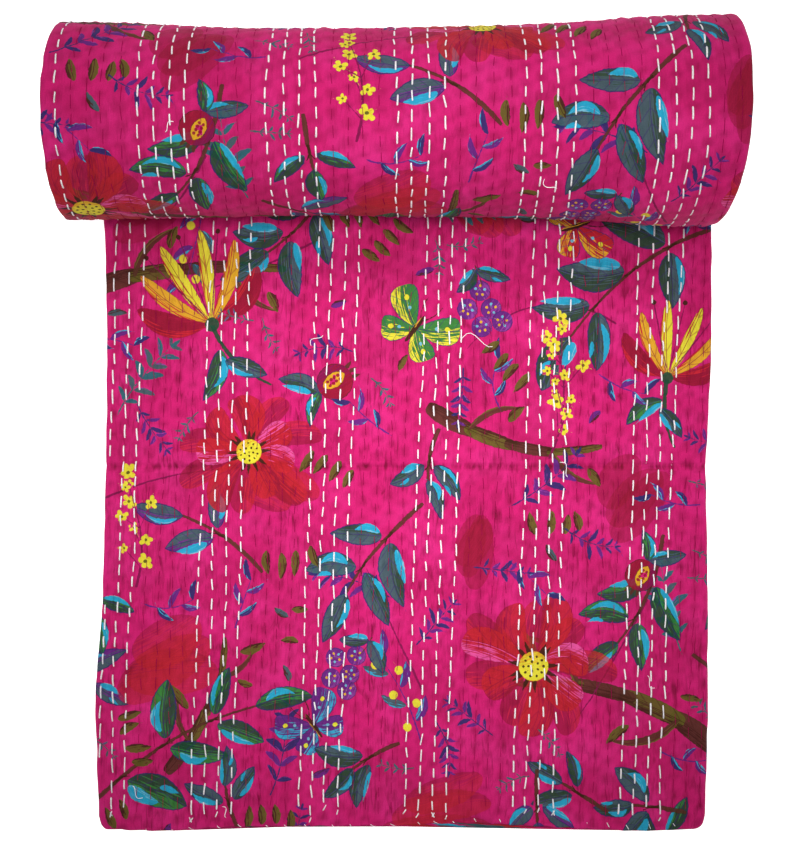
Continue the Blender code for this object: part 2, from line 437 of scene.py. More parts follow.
    def relief(self, panel: Panel, x: Array, v: Array) -> Array:
        """How far a visible face stands out from its plain form.

        Args:
            panel: Which face.
            x: The places, across the quilt.
            v: Their distances along that face, from the hem or from straight below the axis.

        Returns:
            The heights, less than nothing in the furrows.
        """
        rows = self.rows(panel)
        sewn = rows.sewn(x, v)
        row = (sewn - rows.first) / rows.pitch
        off = 2.0 * (row - np.round(row))
        pinch = (0.5 + 0.5 * np.cos(math.pi * off)) ** self.furrow_sharpness
        uneven = 1.0 + 0.25 * self.stitch_wave(np.round(row), v)
        swell = self.flap_swell if panel is Panel.FLAP else self.roll_swell
        height = swell(x, v) + self.pucker(sewn, v) * (1.0 - pinch) - self.furrow * pinch * uneven
        along = v if panel is Panel.FLAP else self.flap_length + self.rolled_length(v / self.print_radius)
        height = np.where(height < 0.0, self.deepest * np.tanh(height / self.deepest), height)
        left, right = self.edges(along)
        from_left = eased((x - left - self.left_bulge) / self.edge_fade)
        inside = from_left * eased((right - self.outer_bulge - x) / self.edge_fade)
        if panel is Panel.FLAP:
            return height * inside * eased(v / self.hem_rise)
        # Where the roll lies on the floor, nothing stands out from it.
        lying = 0.25
        off_floor = eased((v / self.print_radius - lying) / lying)
        return inside * (np.minimum(height, 0.0) + np.maximum(height, 0.0) * off_floor)

    def dimples(self, panel: Panel, x: Array, v: float) -> Array:
        """How much painted shade places of a visible face get: in furrows, and most where a thread dives.

        Args:
            panel: Which face.
            x: The places, across the quilt.
            v: Their distance along that face.

        Returns:
            How much painted shade each gets, from 0 to 1.
        """
        rows = self.rows(panel)
        row = (rows.sewn(x, v) - rows.first) / rows.pitch
        number = np.round(row)
        near = np.clip(1.0 - 1.6 * np.abs(row - number), 0.0, 1.0)
        pulse = np.clip(self.stitch_wave(number, v) * 1.6, 0.0, 1.0)
        depth = np.clip(-self.relief(panel, x, np.full(len(x), v)) / self.furrow, 0.0, 1.0)
        return np.clip(0.5 * depth + near * pulse, 0.0, 1.0)

    def flat_place(self, x: Array, height: Array, along: Array | float) -> Array:
        """Where points of the flat stack's section lie.

        Args:
            x: Their places across the quilt.
            height: Their heights in the plump stack.
            along: Their distance from the hem.

        Returns:
            Rows of x, y and z.
        """
        left, right = self.edges(along)
        across = (x - left) / (right - left)
        fade = np.maximum(0.0, 1.0 - np.asarray(along) / self.hem_fade)
        scallop = self.scallop * np.cos(math.tau * x / self.scallop_pitch)
        back = along + fade * (self.setback(height) - self.hem(across) - scallop)
        hidden_from = self.flap_length - self.squeezed_over
        pressed = np.clip((along - hidden_from) / (self.winding_from - hidden_from), 0.0, 1.0)
        plump = self.plumpness(along + self.crease_waver(x, 0.0))
        share = plump * (1.0 - pressed) + self.squeeze * self.girth(across) * pressed
        return np.stack(np.broadcast_arrays(x, self.hem_y + back, height * share), axis=-1)

    def wound_place(self, x: Array, height: Array, turned: Array | float) -> Array:
        """Where points of the roll's section lie.

        Args:
            x: Their places across the quilt.
            height: Their heights in the stack, measured inwards.
            turned: How far round the roll the section is.

        Returns:
            Rows of x, y and z.
        """
        left, right = self.edges(self.flap_length + self.rolled_length(turned))
        share = self.girth((x - left) / (right - left))
        radius = share * (self.outer_radius(turned) - height) * self.flatness(turned)
        axis_z = share * self.roll_radius * math.cos(self.rest_angle)
        y = self.axis_y + radius * np.sin(turned)
        z = axis_z - radius * np.cos(turned)
        return np.stack(np.broadcast_arrays(x, y, z), axis=-1)

    def surface(self, panel: Panel, x: Array, v: Array, lift: Array | float = 0.0) -> Array:
        """Points on a visible face, or just off it.

        Args:
            panel: Which face.
            x: Their places across the quilt.
            v: Their distances along that face.
            lift: How far off it they lie.

        Returns:
            Rows of x, y and z.
        """
        height = self.relief(panel, x, v) + lift
        if panel is Panel.FLAP:
            return self.flat_place(x, self.stack + height, v)
        return self.wound_place(x, -height, v / self.print_radius)

    def columns(self, panel: Panel, v: float, left: float, right: float) -> Array:
        """The x of the points across a quilted face: several for each row of stitches, which they follow.

        Args:
            panel: Which face.
            v: The distance along it.
            left: The x at which the run starts.
            right: The x at which it ends.

        Returns:
            The places, from left to right. Near both edges they close up or spread so that they end there.
        """
        rows = self.rows(panel)
        steps = self.rows_across * self.columns_per_row
        share = np.linspace(0.0, 1.0, steps + 1)
        middle = rows.first + rows.pitch * round((self.centre_x - rows.first) / rows.pitch)
        sewn = middle + (share - 0.5) * self.rows_across * rows.pitch
        margin = 0.09
        hold = eased(share / margin) * eased((1.0 - share) / margin)
        return hold * rows.laid(sewn, v) + (1.0 - hold) * (left + share * (right - left))

    def section(self, station: Station) -> dict[str, Array]:
        """The stack's section as named runs in order round its outline.

        The lowest layer starts at its free edge on the left, turns up over the outer fold on the right and
        comes back as the top layer. That turns under on the left, runs right as the layer below, turns under
        again at the inner fold, and ends on the left as the second layer from below, at its free edge.

        Args:
            station: Where the section is.

        Returns:
            For each run its points, as rows of x and height. Each run ends on the point that starts the next.
        """
        left, right = (float(edge) for edge in self.edges(station.along))
        apart = 0.01
        wave = [float(self.edge_waver(apart * k, station.along)) for k in range(4)]
        bend_left = left + self.left_bulge
        bend_right = right - self.outer_bulge
        free_0 = left + self.free_edge_0 + abs(wave[0])
        free_1 = left + self.free_edge_1 + abs(wave[1])
        outer = self.outer_bulge + wave[2] / 2
        inner = outer - self.layer - self.layer_gap
        half = self.end_thickness(station.along) * self.layer / 2
        middles = [k * self.layer_rise + self.layer / 2 for k in range(self.layers)]
        floors = [middle - half for middle in middles]
        tops = [middle + half for middle in middles]
        floors[0] = max(0.0, floors[0])
        knots = np.array([at for at, _ in self.girth.rows])
        under = level(free_0, bend_right, floors[0], knots)
        top = level(bend_left, bend_right, tops[3], knots)
        if station.top:
            x = self.columns(Panel.FLAP, station.along, bend_left, bend_right)
            top = np.stack([x, tops[3] + self.relief(Panel.FLAP, x, np.full(len(x), station.along))], axis=1)
        if station.under:
            v = station.turned * self.print_radius
            x = self.columns(Panel.ROLL, v, free_0, bend_right)
            under = np.stack([x, floors[0] - self.relief(Panel.ROLL, x, np.full(len(x), v))], axis=1)
        behind = np.linspace(0.0, 1.0, self.backing_steps + 1) if station.under else knots
        return {
            "under": under,
            "outer fold": bend(bend_right, outer, floors[0], tops[3]),
            "top": top[::-1],
            "left fold": bend(bend_left, -self.left_bulge - wave[3] / 2, floors[2], tops[3])[::-1],
            "floor 2": level(bend_left, bend_right, floors[2], knots),
            "inner fold inside": joint(bend_right, floors[2], tops[1]),
            "top 1": level(free_1, bend_right, tops[1], knots)[::-1],
            "free edge 1": joint(free_1, tops[1], floors[1], self.edge_round),
            "floor 1": level(free_1, bend_right, floors[1], behind),
            "inner fold": bend(bend_right, inner, floors[1], tops[2]),
            "top 2": level(bend_left, bend_right, tops[2], knots)[::-1],
            "left fold inside": joint(bend_left, tops[2], floors[3]),
            "floor 3": level(bend_left, bend_right, floors[3], knots),
            "outer fold inside": bend(bend_right, outer - self.layer, tops[0], floors[3])[::-1],
            "top 0": level(free_0, bend_right, tops[0], behind)[::-1],
            "free edge 0": joint(free_0, tops[0], floors[0], self.edge_round),
        }

    def wound_station(self, turned: float, under: bool) -> Station:
        """A section of the roll, at an angle round it."""
        return Station(float(self.flap_length + self.rolled_length(turned)), float(turned), under=under)

    def stations(self) -> list[Station]:
        """Every section of the cloth: close together where it is quilted, and wide apart inside the roll.

        Returns:
            The sections, from the hem to the core of the roll.
        """
        reach = self.layer / 2
        near_hem = [0.0, 0.12 * reach, 0.4 * reach, reach, 0.0022, 0.0040]
        quilted_from, quilted_to, step = 0.0075, 0.600, 0.0046
        crease_reach, crease_clear = 0.0066, 0.0085
        crease = self.crease_at + np.linspace(-crease_reach, crease_reach, 8)
        even = np.arange(quilted_from, quilted_to, step)
        flap = near_hem + sorted([*even[np.abs(even - self.crease_at) > crease_clear], *crease])
        hidden = np.linspace(quilted_to + 0.005, self.winding_from, 5)
        shown_to = math.tau + 0.12
        outer = np.linspace(-self.rest_angle * 0.9, shown_to, 132)
        inner_step = math.tau / 38
        inner = np.arange(shown_to + 0.16, self.turned_total - 0.08, inner_step)
        core = self.turned_total - np.array([0.30, 0.12, 0.04, 0.0])
        flat = [Station(along, top=True) for along in flap] + [Station(float(along)) for along in hidden]
        inner_turns = np.concatenate((inner[inner < core[0] - 0.05], core))
        wound = [self.wound_station(turned, True) for turned in outer]
        return flat + wound + [self.wound_station(turned, False) for turned in inner_turns]


# ---- the cloth's skin


@dataclass(frozen=True)
class Band:
    """One run of a laid section: the numbers of its points, and their places in the cloth's own measure."""

    numbers: Array
    hidden: Array
    shown: Array | None

    def backward(self) -> "Band":
        """The same run, followed the other way."""
        return Band(self.numbers[::-1], self.hidden[::-1], None if self.shown is None else self.shown[::-1])


class Skin:
    """The quilt's surface as it grows: the points of its sections, and the faces from one to the next."""

    HEM_PAIRS = (
        ("under", "top 0"), ("outer fold", "outer fold inside"), ("top", "floor 3"),
        ("left fold", "left fold inside"), ("floor 2", "top 2"), ("inner fold inside", "inner fold"),
        ("top 1", "floor 1"),
    )
    END_STRIP = 0.03

    def __init__(self, shape: FoldedShape) -> None:
        """Starts with no points.

        Args:
            shape: The folded shape.
        """
        self.shape = shape
        self.points: list[Array] = []
        self.sunk: list[Array] = []
        self.count = 0
        self.quads: list[Array] = []
        self.quad_cloth: list[Array] = []
        self.triangles: list[Array] = []
        self.triangle_cloth: list[Array] = []

    def lay(self, station: Station) -> dict[str, Band]:
        """Adds a section's points.

        Args:
            station: Where the section is.

        Returns:
            Its runs.
        """
        shape = self.shape
        section = shape.section(station)
        loop = np.concatenate([run[:-1] for run in section.values()])
        closed = np.concatenate((loop, loop[:1]))
        girdle = lengths(closed)
        if station.turned is None:
            placed = shape.flat_place(loop[:, 0], loop[:, 1], station.along)
        else:
            placed = shape.wound_place(loop[:, 0], loop[:, 1], station.turned)
        first, self.count = self.count, self.count + len(loop)
        placed[:, 2] = np.maximum(placed[:, 2], 0.0)
        self.points.append(placed)
        # How much painted shade the material lays on each point: in the furrows, and most where a thread
        # dives.
        sunk = np.zeros(len(loop))
        bands = {}
        start = 0
        for name, run in section.items():
            around = girdle[start : start + len(run)]
            numbers = first + (start + np.arange(len(run))) % len(loop)
            hidden = np.stack([HIDDEN_PRINT_FROM + around, np.full(len(run), station.along)], axis=1)
            bands[name] = Band(numbers, hidden, self.shown_place(name, run, around, station))
            if name == "top" and station.top:
                sunk[start : start + len(run) - 1] = shape.dimples(Panel.FLAP, run[:, 0], station.along)[:-1]
            if name == "under" and station.under:
                v = station.turned * shape.print_radius
                sunk[start : start + len(run) - 1] = shape.dimples(Panel.ROLL, run[:, 0], v)[:-1]
            start += len(run) - 1
        self.sunk.append(sunk)
        return bands

    def shown_place(self, name: str, run: Array, around: Array, station: Station) -> Array | None:
        """The places of a run's points on the printed face that shows.

        Args:
            name: The run.
            run: Its points, as x and height.
            around: Their distances round the section.
            station: Where the section is.

        Returns:
            Rows of the place across and along the face, or None where the run doesn't show.
        """
        x, from_start, to_end = run[:, 0], around - around[0], around[-1] - around
        if station.top:
            across = {"top": x, "outer fold": x[-1] + to_end, "left fold": x[0] - from_start}
            along = station.along
        elif station.under:
            across = {"under": x, "outer fold": x[0] + from_start, "free edge 0": x[-1] - to_end}
            along = ROLL_PRINT_FROM + station.turned * self.shape.print_radius
        else:
            return None
        if name not in across:
            return None
        return np.stack([across[name], np.full(len(run), along)], axis=1)

    def lace(self, one: Band, other: Band) -> None:
        """Adds the faces between two runs: four-sided ones, or triangles where the numbers of points differ.

        Args:
            one: The run of one section.
            other: The run beside it.
        """
        show = one.shown is not None and other.shown is not None
        one_cloth, other_cloth = (one.shown, other.shown) if show else (one.hidden, other.hidden)
        if len(one.numbers) == len(other.numbers):
            columns = (one.numbers[:-1], one.numbers[1:], other.numbers[1:], other.numbers[:-1])
            cloth = (one_cloth[:-1], one_cloth[1:], other_cloth[1:], other_cloth[:-1])
            self.quads.append(np.stack(columns, axis=1))
            self.quad_cloth.append(np.stack(cloth, axis=1))
            return
        one_at = np.linspace(0.0, 1.0, len(one.numbers))
        other_at = np.linspace(0.0, 1.0, len(other.numbers))
        i = j = 0
        while i < len(one_at) - 1 or j < len(other_at) - 1:
            next_one = one_at[i + 1] if i < len(one_at) - 1 else math.inf
            next_other = other_at[j + 1] if j < len(other_at) - 1 else math.inf
            if next_one <= next_other:
                numbers = (one.numbers[i], one.numbers[i + 1], other.numbers[j])
                cloth = (one_cloth[i], one_cloth[i + 1], other_cloth[j])
                i += 1
            else:
                numbers = (one.numbers[i], other.numbers[j + 1], other.numbers[j])
                cloth = (one_cloth[i], other_cloth[j + 1], other_cloth[j])
                j += 1
            self.triangles.append(np.array([numbers]))
            self.triangle_cloth.append(np.array([cloth]))

    def close_end(self, bands: dict[str, Band], turned_round: bool) -> None:
        """Closes an end of the cloth, layer by layer and fold by fold.

        Args:
            bands: The runs of the section there.
            turned_round: Whether it is the end in the core and not the hem.
        """
        away = self.END_STRIP if turned_round else -self.END_STRIP
        for outside, inside in self.HEM_PAIRS:
            shell, lining = bands[outside], bands[inside].backward()
            share = np.linspace(0.0, len(shell.numbers) - 1.0, len(lining.numbers))
            around = np.interp(share, np.arange(len(shell.numbers)), shell.hidden[:, 0])
            beside = np.stack([around, lining.hidden[:, 1] + away], axis=1)
            pair = (Band(shell.numbers, shell.hidden, None), Band(lining.numbers, beside, None))
            self.lace(*(pair[::-1] if turned_round else pair))

    def grow(self) -> None:
        """Lays every section and joins it to the one before."""
        before: dict[str, Band] | None = None
        for station in self.shape.stations():
            bands = self.lay(station)
            if before is None:
                self.close_end(bands, turned_round=False)
            else:
                for name, band in before.items():
                    self.lace(band, bands[name])
            before = bands
        self.close_end(before, turned_round=True)

    def volume(self) -> float:
        """Works out the volume that the faces enclose.

        Returns:
            The volume, more than nothing when the faces point outwards.
        """
        points = np.concatenate(self.points)
        quads = np.concatenate(self.quads)
        faces = np.concatenate([quads[:, [0, 1, 2]], quads[:, [0, 2, 3]], *self.triangles])
        a, b, c = (points[faces[:, k]] for k in range(3))
        return float(np.einsum("ij,ij->i", a, np.cross(b, c)).sum() / 6.0)

    def mesh(self, name: str) -> tuple[bpy.types.Mesh, Array, Array]:
        """Makes the mesh.

        Args:
            name: Its name.

        Returns:
            The mesh, the cloth places of its face corners, and for each face the number of its first corner.
        """
        way = -1 if self.volume() < 0 else 1
        kept = (self.quads, self.quad_cloth, self.triangles, self.triangle_cloth)
        quads, quad_cloth, triangles, triangle_cloth = (np.concatenate(rows)[:, ::way] for rows in kept)
        corners = np.concatenate((quads.ravel(), triangles.ravel())).astype(np.int32)
        cloth = np.concatenate((quad_cloth.reshape(-1, 2), triangle_cloth.reshape(-1, 2)))
        starts = np.concatenate((np.arange(len(quads)) * 4, len(quads) * 4 + np.arange(len(triangles)) * 3))
        mesh = point_mesh(name, np.concatenate(self.points))
        mesh.loops.add(len(corners))
        mesh.loops.foreach_set("vertex_index", corners)
        mesh.polygons.add(len(starts))
        mesh.polygons.foreach_set("loop_start", starts.astype(np.int32))
        mesh.update(calc_edges=True)
        mesh.shade_smooth()
        # The painted shade of the furrows, which the material reads.
        store(mesh, "sunk", "FLOAT", "POINT", np.concatenate(self.sunk))
        return mesh, cloth, starts


# ---- the print


class Ink(Enum):
    """The inks of the print."""

    SLATE = "#37565C"
    TEAL = "#195E67"
    CYAN = "#259BBE"
    SKY = "#6AADC5"
    GREEN = "#277733"
    DEEP_GREEN = "#19432F"
    OLIVE = "#5C531E"
    NAVY = "#262761"
    PURPLE = "#5C2375"
    VIOLET = "#7E3689"
    PLUM = "#771044"
    YELLOW = "#D8D033"
    AMBER = "#D19D23"
    RED = "#B01E28"
    CRIMSON = "#8A112C"
    ROSE = "#D34D8F"
    BARK = "#552D23"
    BROWN = "#3A1E11"


def paint(code: str) -> Paint:
    """A colour of six hexadecimal digits as linear light, with full cover."""
    shares = [int(code[k : k + 2], 16) / 255 for k in (1, 3, 5)]
    return *(s / 12.92 if s <= 0.04045 else ((s + 0.055) / 1.055) ** 2.4 for s in shares), 1.0


@dataclass(frozen=True)
class Stroke:
    """One brush stroke of the print, along a line with a slight bend, its width running out at both ends.

    Attributes:
        x: Where it starts, across the cloth.
        y: Where it starts, along the cloth.
        turn: Its direction, from +X towards +Y.
        length: Its length.
        half: Half its greatest width.
        ink: Its ink.
        bend: How far its middle lies off the straight line, to its left.
        tail: How slowly it widens at its start: the exponent there.
        tip: The exponent at its end.
        second: The ink laid on its left side, and how much of it that takes.
        rim: The ink of its outline and veins, and the outline's width.
        veins: How many pairs of veins it has.
        cover: How much of the ground it hides.
        side: 1, or -1 where the second ink lies on its right.
    """

    x: float
    y: float
    turn: float
    length: float
    half: float
    ink: Ink
    bend: float = 0.0
    tail: float = 0.5
    tip: float = 0.5
    second: tuple[Ink, float] | None = None
    rim: tuple[Ink, float] | None = None
    veins: float = 0.0
    cover: float = 0.96
    side: float = 1.0

    def placed(self, shift_x: float, shift_y: float, mirrored: bool) -> "Stroke":
        """The same stroke elsewhere on the cloth.

        Args:
            shift_x: How far to move it across.
            shift_y: How far to move it along.
            mirrored: Whether the cloth shows it in a mirror there, its length reversed.

        Returns:
            The moved stroke.
        """
        way = -1.0 if mirrored else 1.0
        changes = {"x": self.x + shift_x, "y": way * self.y + shift_y, "turn": way * self.turn}
        changes |= {"bend": way * self.bend, "side": way * self.side}
        return Stroke(**(self.__dict__ | changes))


class Spot(NamedTuple):
    """A place on the cloth with a direction, from which a motif is drawn."""

    x: float
    y: float
    turn: float

    def step(self, ahead: float = 0.0, aside: float = 0.0, turn: float = 0.0) -> "Spot":
        """Moves on from this spot.

        Args:
            ahead: How far in its direction.
            aside: How far to its left.
            turn: How far to turn there.

        Returns:
            The new spot.
        """
        cos, sin = math.cos(self.turn), math.sin(self.turn)
        x, y = self.x + (ahead * cos - aside * sin), self.y + (ahead * sin + aside * cos)
        return Spot(x, y, self.turn + turn)


class LeafInks(Enum):
    """The inks that leaves are printed in: the leaf, its second tone, and its bright blade."""

    COOL = (Ink.SLATE, Ink.DEEP_GREEN, Ink.CYAN)
    DEEP = (Ink.DEEP_GREEN, Ink.SLATE, Ink.CYAN)
    FRESH = (Ink.DEEP_GREEN, Ink.GREEN, Ink.CYAN)
    DUSK = (Ink.SLATE, Ink.PURPLE, Ink.CYAN)


class PrintDesign:
    """A free design of blooms, leafy branches, ferns, berries and butterflies, drawn stroke by stroke.

    The numbers in a motif are shares of its length or radius, turns in radians, and the ends of its strokes.
    """

    THIN_RIM, FINE_RIM, PLAIN_RIM, BOLD_RIM, LEAF_RIM = 0.0004, 0.0005, 0.0006, 0.0008, 0.0011
    SIDES = (1.0, -1.0)

    def __init__(self, seed: int) -> None:
        """Starts with a bare cloth."""
        self.strokes: list[Stroke] = []
        self.draw = np.random.default_rng(seed)

    def jitter(self, spread: float) -> float:
        """A random number between minus and plus a spread."""
        return float(self.draw.uniform(-spread, spread))

    def mark(self, spot: Spot, length: float, half: float, ink: Ink, **style: Any) -> None:
        """One stroke from a spot, in its direction."""
        self.strokes.append(Stroke(*spot, length, half, ink, **style))

    def dot(self, spot: Spot, radius: float, ink: Ink, **style: Any) -> None:
        """A round dab centred on a spot."""
        self.mark(spot.step(-radius), 2 * radius, radius, ink, **style)

    def leaf(self, spot: Spot, length: float, inks: LeafInks, side: float = 1.0) -> None:
        """A broad pointed leaf in two tones, with a bright blade along one side, a dark outline and veins.

        Args:
            spot: Where it starts.
            length: Its length.
            inks: Its inks.
            side: 1 for a blade on its left, -1 for one on its right.
        """
        body, tone, bright = inks.value
        bend = self.jitter(0.10) * length
        half = length * (0.215 + self.jitter(0.03))
        tail, tip = 0.62 + self.jitter(0.1), 0.85 + self.jitter(0.1)
        self.mark(spot, length, half, body, bend=bend, tail=tail, tip=tip, veins=4.0, side=side,
                  second=(tone, 0.50 + self.jitter(0.12)), rim=(Ink.NAVY, self.LEAF_RIM))
        blade = spot.step((0.12 + self.jitter(0.08)) * length, side * half * 0.36, side * 0.04)
        self.mark(blade, length * (0.60 + self.jitter(0.14)), half * (0.33 + self.jitter(0.1)), bright,
                  bend=bend * 0.7 + side * half * 0.28, tip=0.8, second=(Ink.SKY, 0.12))
        if self.draw.random() < 0.35:
            dab = spot.step(0.50 * length, -side * half * 0.42, -side * 0.12)
            self.mark(dab, length * 0.30, half * 0.20, bright, bend=bend * 0.4, tip=0.8)

    def stem(
        self, spot: Spot, length: float, half: float, ink: Ink, curl: float, pieces: int = 4
    ) -> list[Spot]:
        """A curving stem or branch that grows thinner.

        Args:
            spot: Where it starts.
            length: Its length.
            half: Half its width at its start.
            ink: Its ink.
            curl: How far it turns from start to end.
            pieces: The number of strokes that draw it.

        Returns:
            Its joints, from the first to its end.
        """
        step, turn = length / pieces, curl / pieces
        outlined_from = 0.002
        rim = (Ink.BROWN, self.THIN_RIM if half > outlined_from else 0.0)
        joints = [spot]
        for k in range(pieces):
            at = joints[-1]
            self.mark(at.step(-0.08 * step), 1.16 * step, half * (1.0 - 0.6 * k / pieces), ink,
                      bend=-step * turn / 8, tail=0.10, tip=0.12, rim=rim)
            joints.append(at.step(step, 0.0, turn + self.jitter(0.06)))
        return joints

    def vine(self, spot: Spot, length: float) -> None:
        """A thin winding stem without leaves."""
        self.stem(spot, length, 0.0012, Ink.PLUM, self.jitter(1.6), pieces=5)

    def leafy_branch(
        self, spot: Spot, length: float, curl: float, leaf: float, pairs: int, inks: LeafInks
    ) -> None:
        """A dark branch with large leaves on both sides, of which a long one lacks a few, and one at its end.

        Args:
            spot: Where it starts.
            length: Its length.
            curl: How far it turns.
            leaf: The length of its leaves.
            pairs: How many pairs of them it has.
            inks: Their inks.
        """
        joints = self.stem(spot, length, 0.0022, Ink.BARK, curl, pieces=pairs + 1)
        for k, joint in enumerate(joints[1:-1]):
            for side in self.SIDES:
                if pairs > 2 and self.draw.random() < 0.16:
                    continue
                size = leaf * (1.0 - 0.08 * k) * (1.0 + self.jitter(0.16))
                turn = side * (0.85 + self.jitter(0.25))
                self.stem(joint, 0.014, 0.0010, Ink.BROWN, turn, pieces=2)
                self.leaf(joint.step(0.009, side * 0.005, turn), size, inks, side)
        self.leaf(joints[-1].step(-0.002), leaf * 0.95, inks)

    def bough(self, spot: Spot, length: float, half: float, curl: float) -> None:
        """A broad flat bough in olive and brown, with two side shoots and small dark leaves.

        Args:
            spot: Where it starts.
            length: Its length.
            half: Half its width at its start.
            curl: How far it turns.
        """
        pieces = 4
        step, turn = length / pieces, curl / pieces
        joints = [spot]
        for k in range(pieces):
            at, ink = joints[-1], Ink.OLIVE if k % 2 else Ink.BARK
            self.mark(at.step(-0.12 * step), 1.3 * step, half * (1.0 - 0.16 * k), ink,
                      tail=0.22, tip=0.25, veins=3.0, bend=-step * turn / 6,
                      second=(Ink.BROWN, 0.34), rim=(Ink.BROWN, self.THIN_RIM))
            joints.append(at.step(step, 0.0, turn + self.jitter(0.12)))
        for joint, side in zip(joints[1::2], self.SIDES):
            self.mark(joint.step(turn=side * 0.7), length * 0.34, half * 0.40, Ink.BARK, bend=side * half,
                      tail=0.3, tip=0.6, second=(Ink.OLIVE, 0.3))
            self.husk(joint.step(length * 0.20, side * length * 0.12, side * 1.1), 0.024)

    def husk(self, spot: Spot, length: float, ink: Ink = Ink.OLIVE) -> None:
        """One small dark leaf."""
        self.mark(spot, length * (1.0 + self.jitter(0.15)), length * 0.19, ink,
                  bend=self.jitter(0.08) * length, tail=0.6, tip=0.8, second=(Ink.BROWN, 0.4))

    def husks(self, spot: Spot, length: float) -> None:
        """A few small dark leaves side by side."""
        for k in range(4):
            self.husk(spot.step(self.jitter(0.003), (k - 1.5) * length * 0.62, self.jitter(0.25)), length)

    def fern(self, spot: Spot, length: float, inks: tuple[Ink, Ink], curl: float, pairs: int = 6) -> None:
        """A fine stem with small narrow leaflets in pairs.

        Args:
            spot: Where it starts.
            length: Its length.
            inks: The inks of its leaflets, in turn.
            curl: How far it turns.
            pairs: How many pairs of leaflets it has.
        """
        joints = self.stem(spot, length, 0.0008, inks[0], curl, pieces=pairs)
        for k, joint in enumerate(joints[1:]):
            size = length * 0.27 * (1.0 - 0.5 * abs(2.0 * k / pairs - 0.7))
            for side in self.SIDES:
                at = joint.step(0.0, side * 0.0006, side * (0.95 + self.jitter(0.25)))
                self.mark(at, size * (1.0 + self.jitter(0.25)), size * 0.17, inks[k % 2],
                          bend=side * -0.08 * size, tail=0.6, tip=0.7, second=(Ink.VIOLET, 0.14))
        self.mark(joints[-1], length * 0.14, length * 0.026, inks[0], tip=0.8)

    def twig(self, spot: Spot, length: float) -> None:
        """A thin purple twig with slim leaves that are part blue.

        Args:
            spot: Where it starts.
            length: Its length.
        """
        joints = self.stem(spot, length, 0.0009, Ink.PURPLE, self.jitter(1.0))
        for k, joint in enumerate(joints[1:]):
            side = self.SIDES[1 - k % 2]
            self.mark(joint.step(turn=side * (0.7 + self.jitter(0.2))), length * (0.42 + self.jitter(0.06)),
                      length * 0.065, Ink.PURPLE if k % 3 else Ink.NAVY, bend=side * 0.002, tail=0.6, tip=0.8,
                      second=(Ink.CYAN, 0.16 if k % 2 else 0.34))

    def bloom(self, spot: Spot, radius: float) -> None:
        """A wide open red flower, thinly printed: ragged petals, a brown collar and a yellow dotted dome.

        Args:
            spot: Its middle.
            radius: Its radius.
        """
        petals, hairs = 7, 12
        for k in range(petals):
            at = spot.step(turn=math.tau * (k + 0.5) / petals + self.jitter(0.2))
            self.mark(at.step(0.12 * radius), radius * (0.95 + self.jitter(0.2)), radius * 0.21, Ink.CRIMSON,
                      bend=self.jitter(0.14) * radius, tail=0.8, tip=0.42, second=(Ink.RED, 0.4), cover=0.72)
        for k in range(petals):
            at = spot.step(turn=math.tau * k / petals + self.jitter(0.2))
            self.mark(at.step(0.08 * radius), radius * (0.84 + self.jitter(0.2)), radius * 0.23, Ink.RED,
                      bend=self.jitter(0.15) * radius, tail=0.9, tip=0.38, veins=3.0, cover=0.86,
                      second=(Ink.CRIMSON if k % 3 else Ink.ROSE, 0.30), rim=(Ink.CRIMSON, self.THIN_RIM))
        for k in range(hairs):
            at = spot.step(turn=math.tau * k / hairs + self.jitter(0.2))
            self.mark(at.step(0.12 * radius), radius * 0.26, radius * 0.035, Ink.BROWN, tail=0.4, tip=0.9)
        self.dome(spot, radius * 0.21)

    def dome(self, spot: Spot, radius: float) -> None:
        """A yellow dome with rings of dark dots.

        Args:
            spot: Its middle.
            radius: Its radius.
        """
        self.dot(spot, radius, Ink.YELLOW, rim=(Ink.AMBER, self.BOLD_RIM), second=(Ink.AMBER, 0.25))
        for ring, count in ((0.68, 10), (0.34, 5)):
            for k in range(count):
                at = spot.step(turn=math.tau * (k + ring) / count).step(ring * radius)
                self.dot(at, radius * 0.095, Ink.BROWN)

    def lily(self, spot: Spot, length: float) -> None:
        """A flower from the side: red, amber and yellow petals in a fan, on a curving stem with two leaves.

        Args:
            spot: Where its petals start.
            length: Their length.
        """
        self.stem(spot.step(turn=math.pi + 0.1), length * 0.9, 0.0024, Ink.DEEP_GREEN, 0.8)
        self.leaf(spot.step(-0.30 * length, turn=math.pi - 0.7), length * 0.56, LeafInks.FRESH)
        self.leaf(spot.step(-0.42 * length, turn=math.pi + 0.9), length * 0.46, LeafInks.DEEP, -1.0)
        petals = (
            (-1.05, 0.76, 0.120, Ink.CRIMSON), (1.05, 0.78, 0.125, Ink.CRIMSON),
            (-0.62, 0.90, 0.080, Ink.AMBER), (0.64, 0.88, 0.085, Ink.AMBER),
            (-0.22, 0.98, 0.075, Ink.YELLOW), (0.24, 0.96, 0.080, Ink.YELLOW),
        )
        for turn, reach, half, ink in petals:
            at, bend = spot.step(turn=turn), turn * length * 0.10
            self.mark(at, length * reach, length * half, ink, bend=bend, tail=0.85, tip=0.65, veins=3.0,
                      second=(Ink.RED, 0.24), rim=(Ink.CRIMSON, self.FINE_RIM))
        for turn in (-0.42, 0.02, 0.44):
            at = spot.step(turn=turn)
            self.mark(at.step(0.1 * length), length * 0.84, 0.0008, Ink.PLUM, tail=0.1, tip=0.1)
            self.dot(at.step(length * 0.95), 0.0024, Ink.BROWN)
        self.dot(spot.step(-0.02 * length), length * 0.075, Ink.DEEP_GREEN)

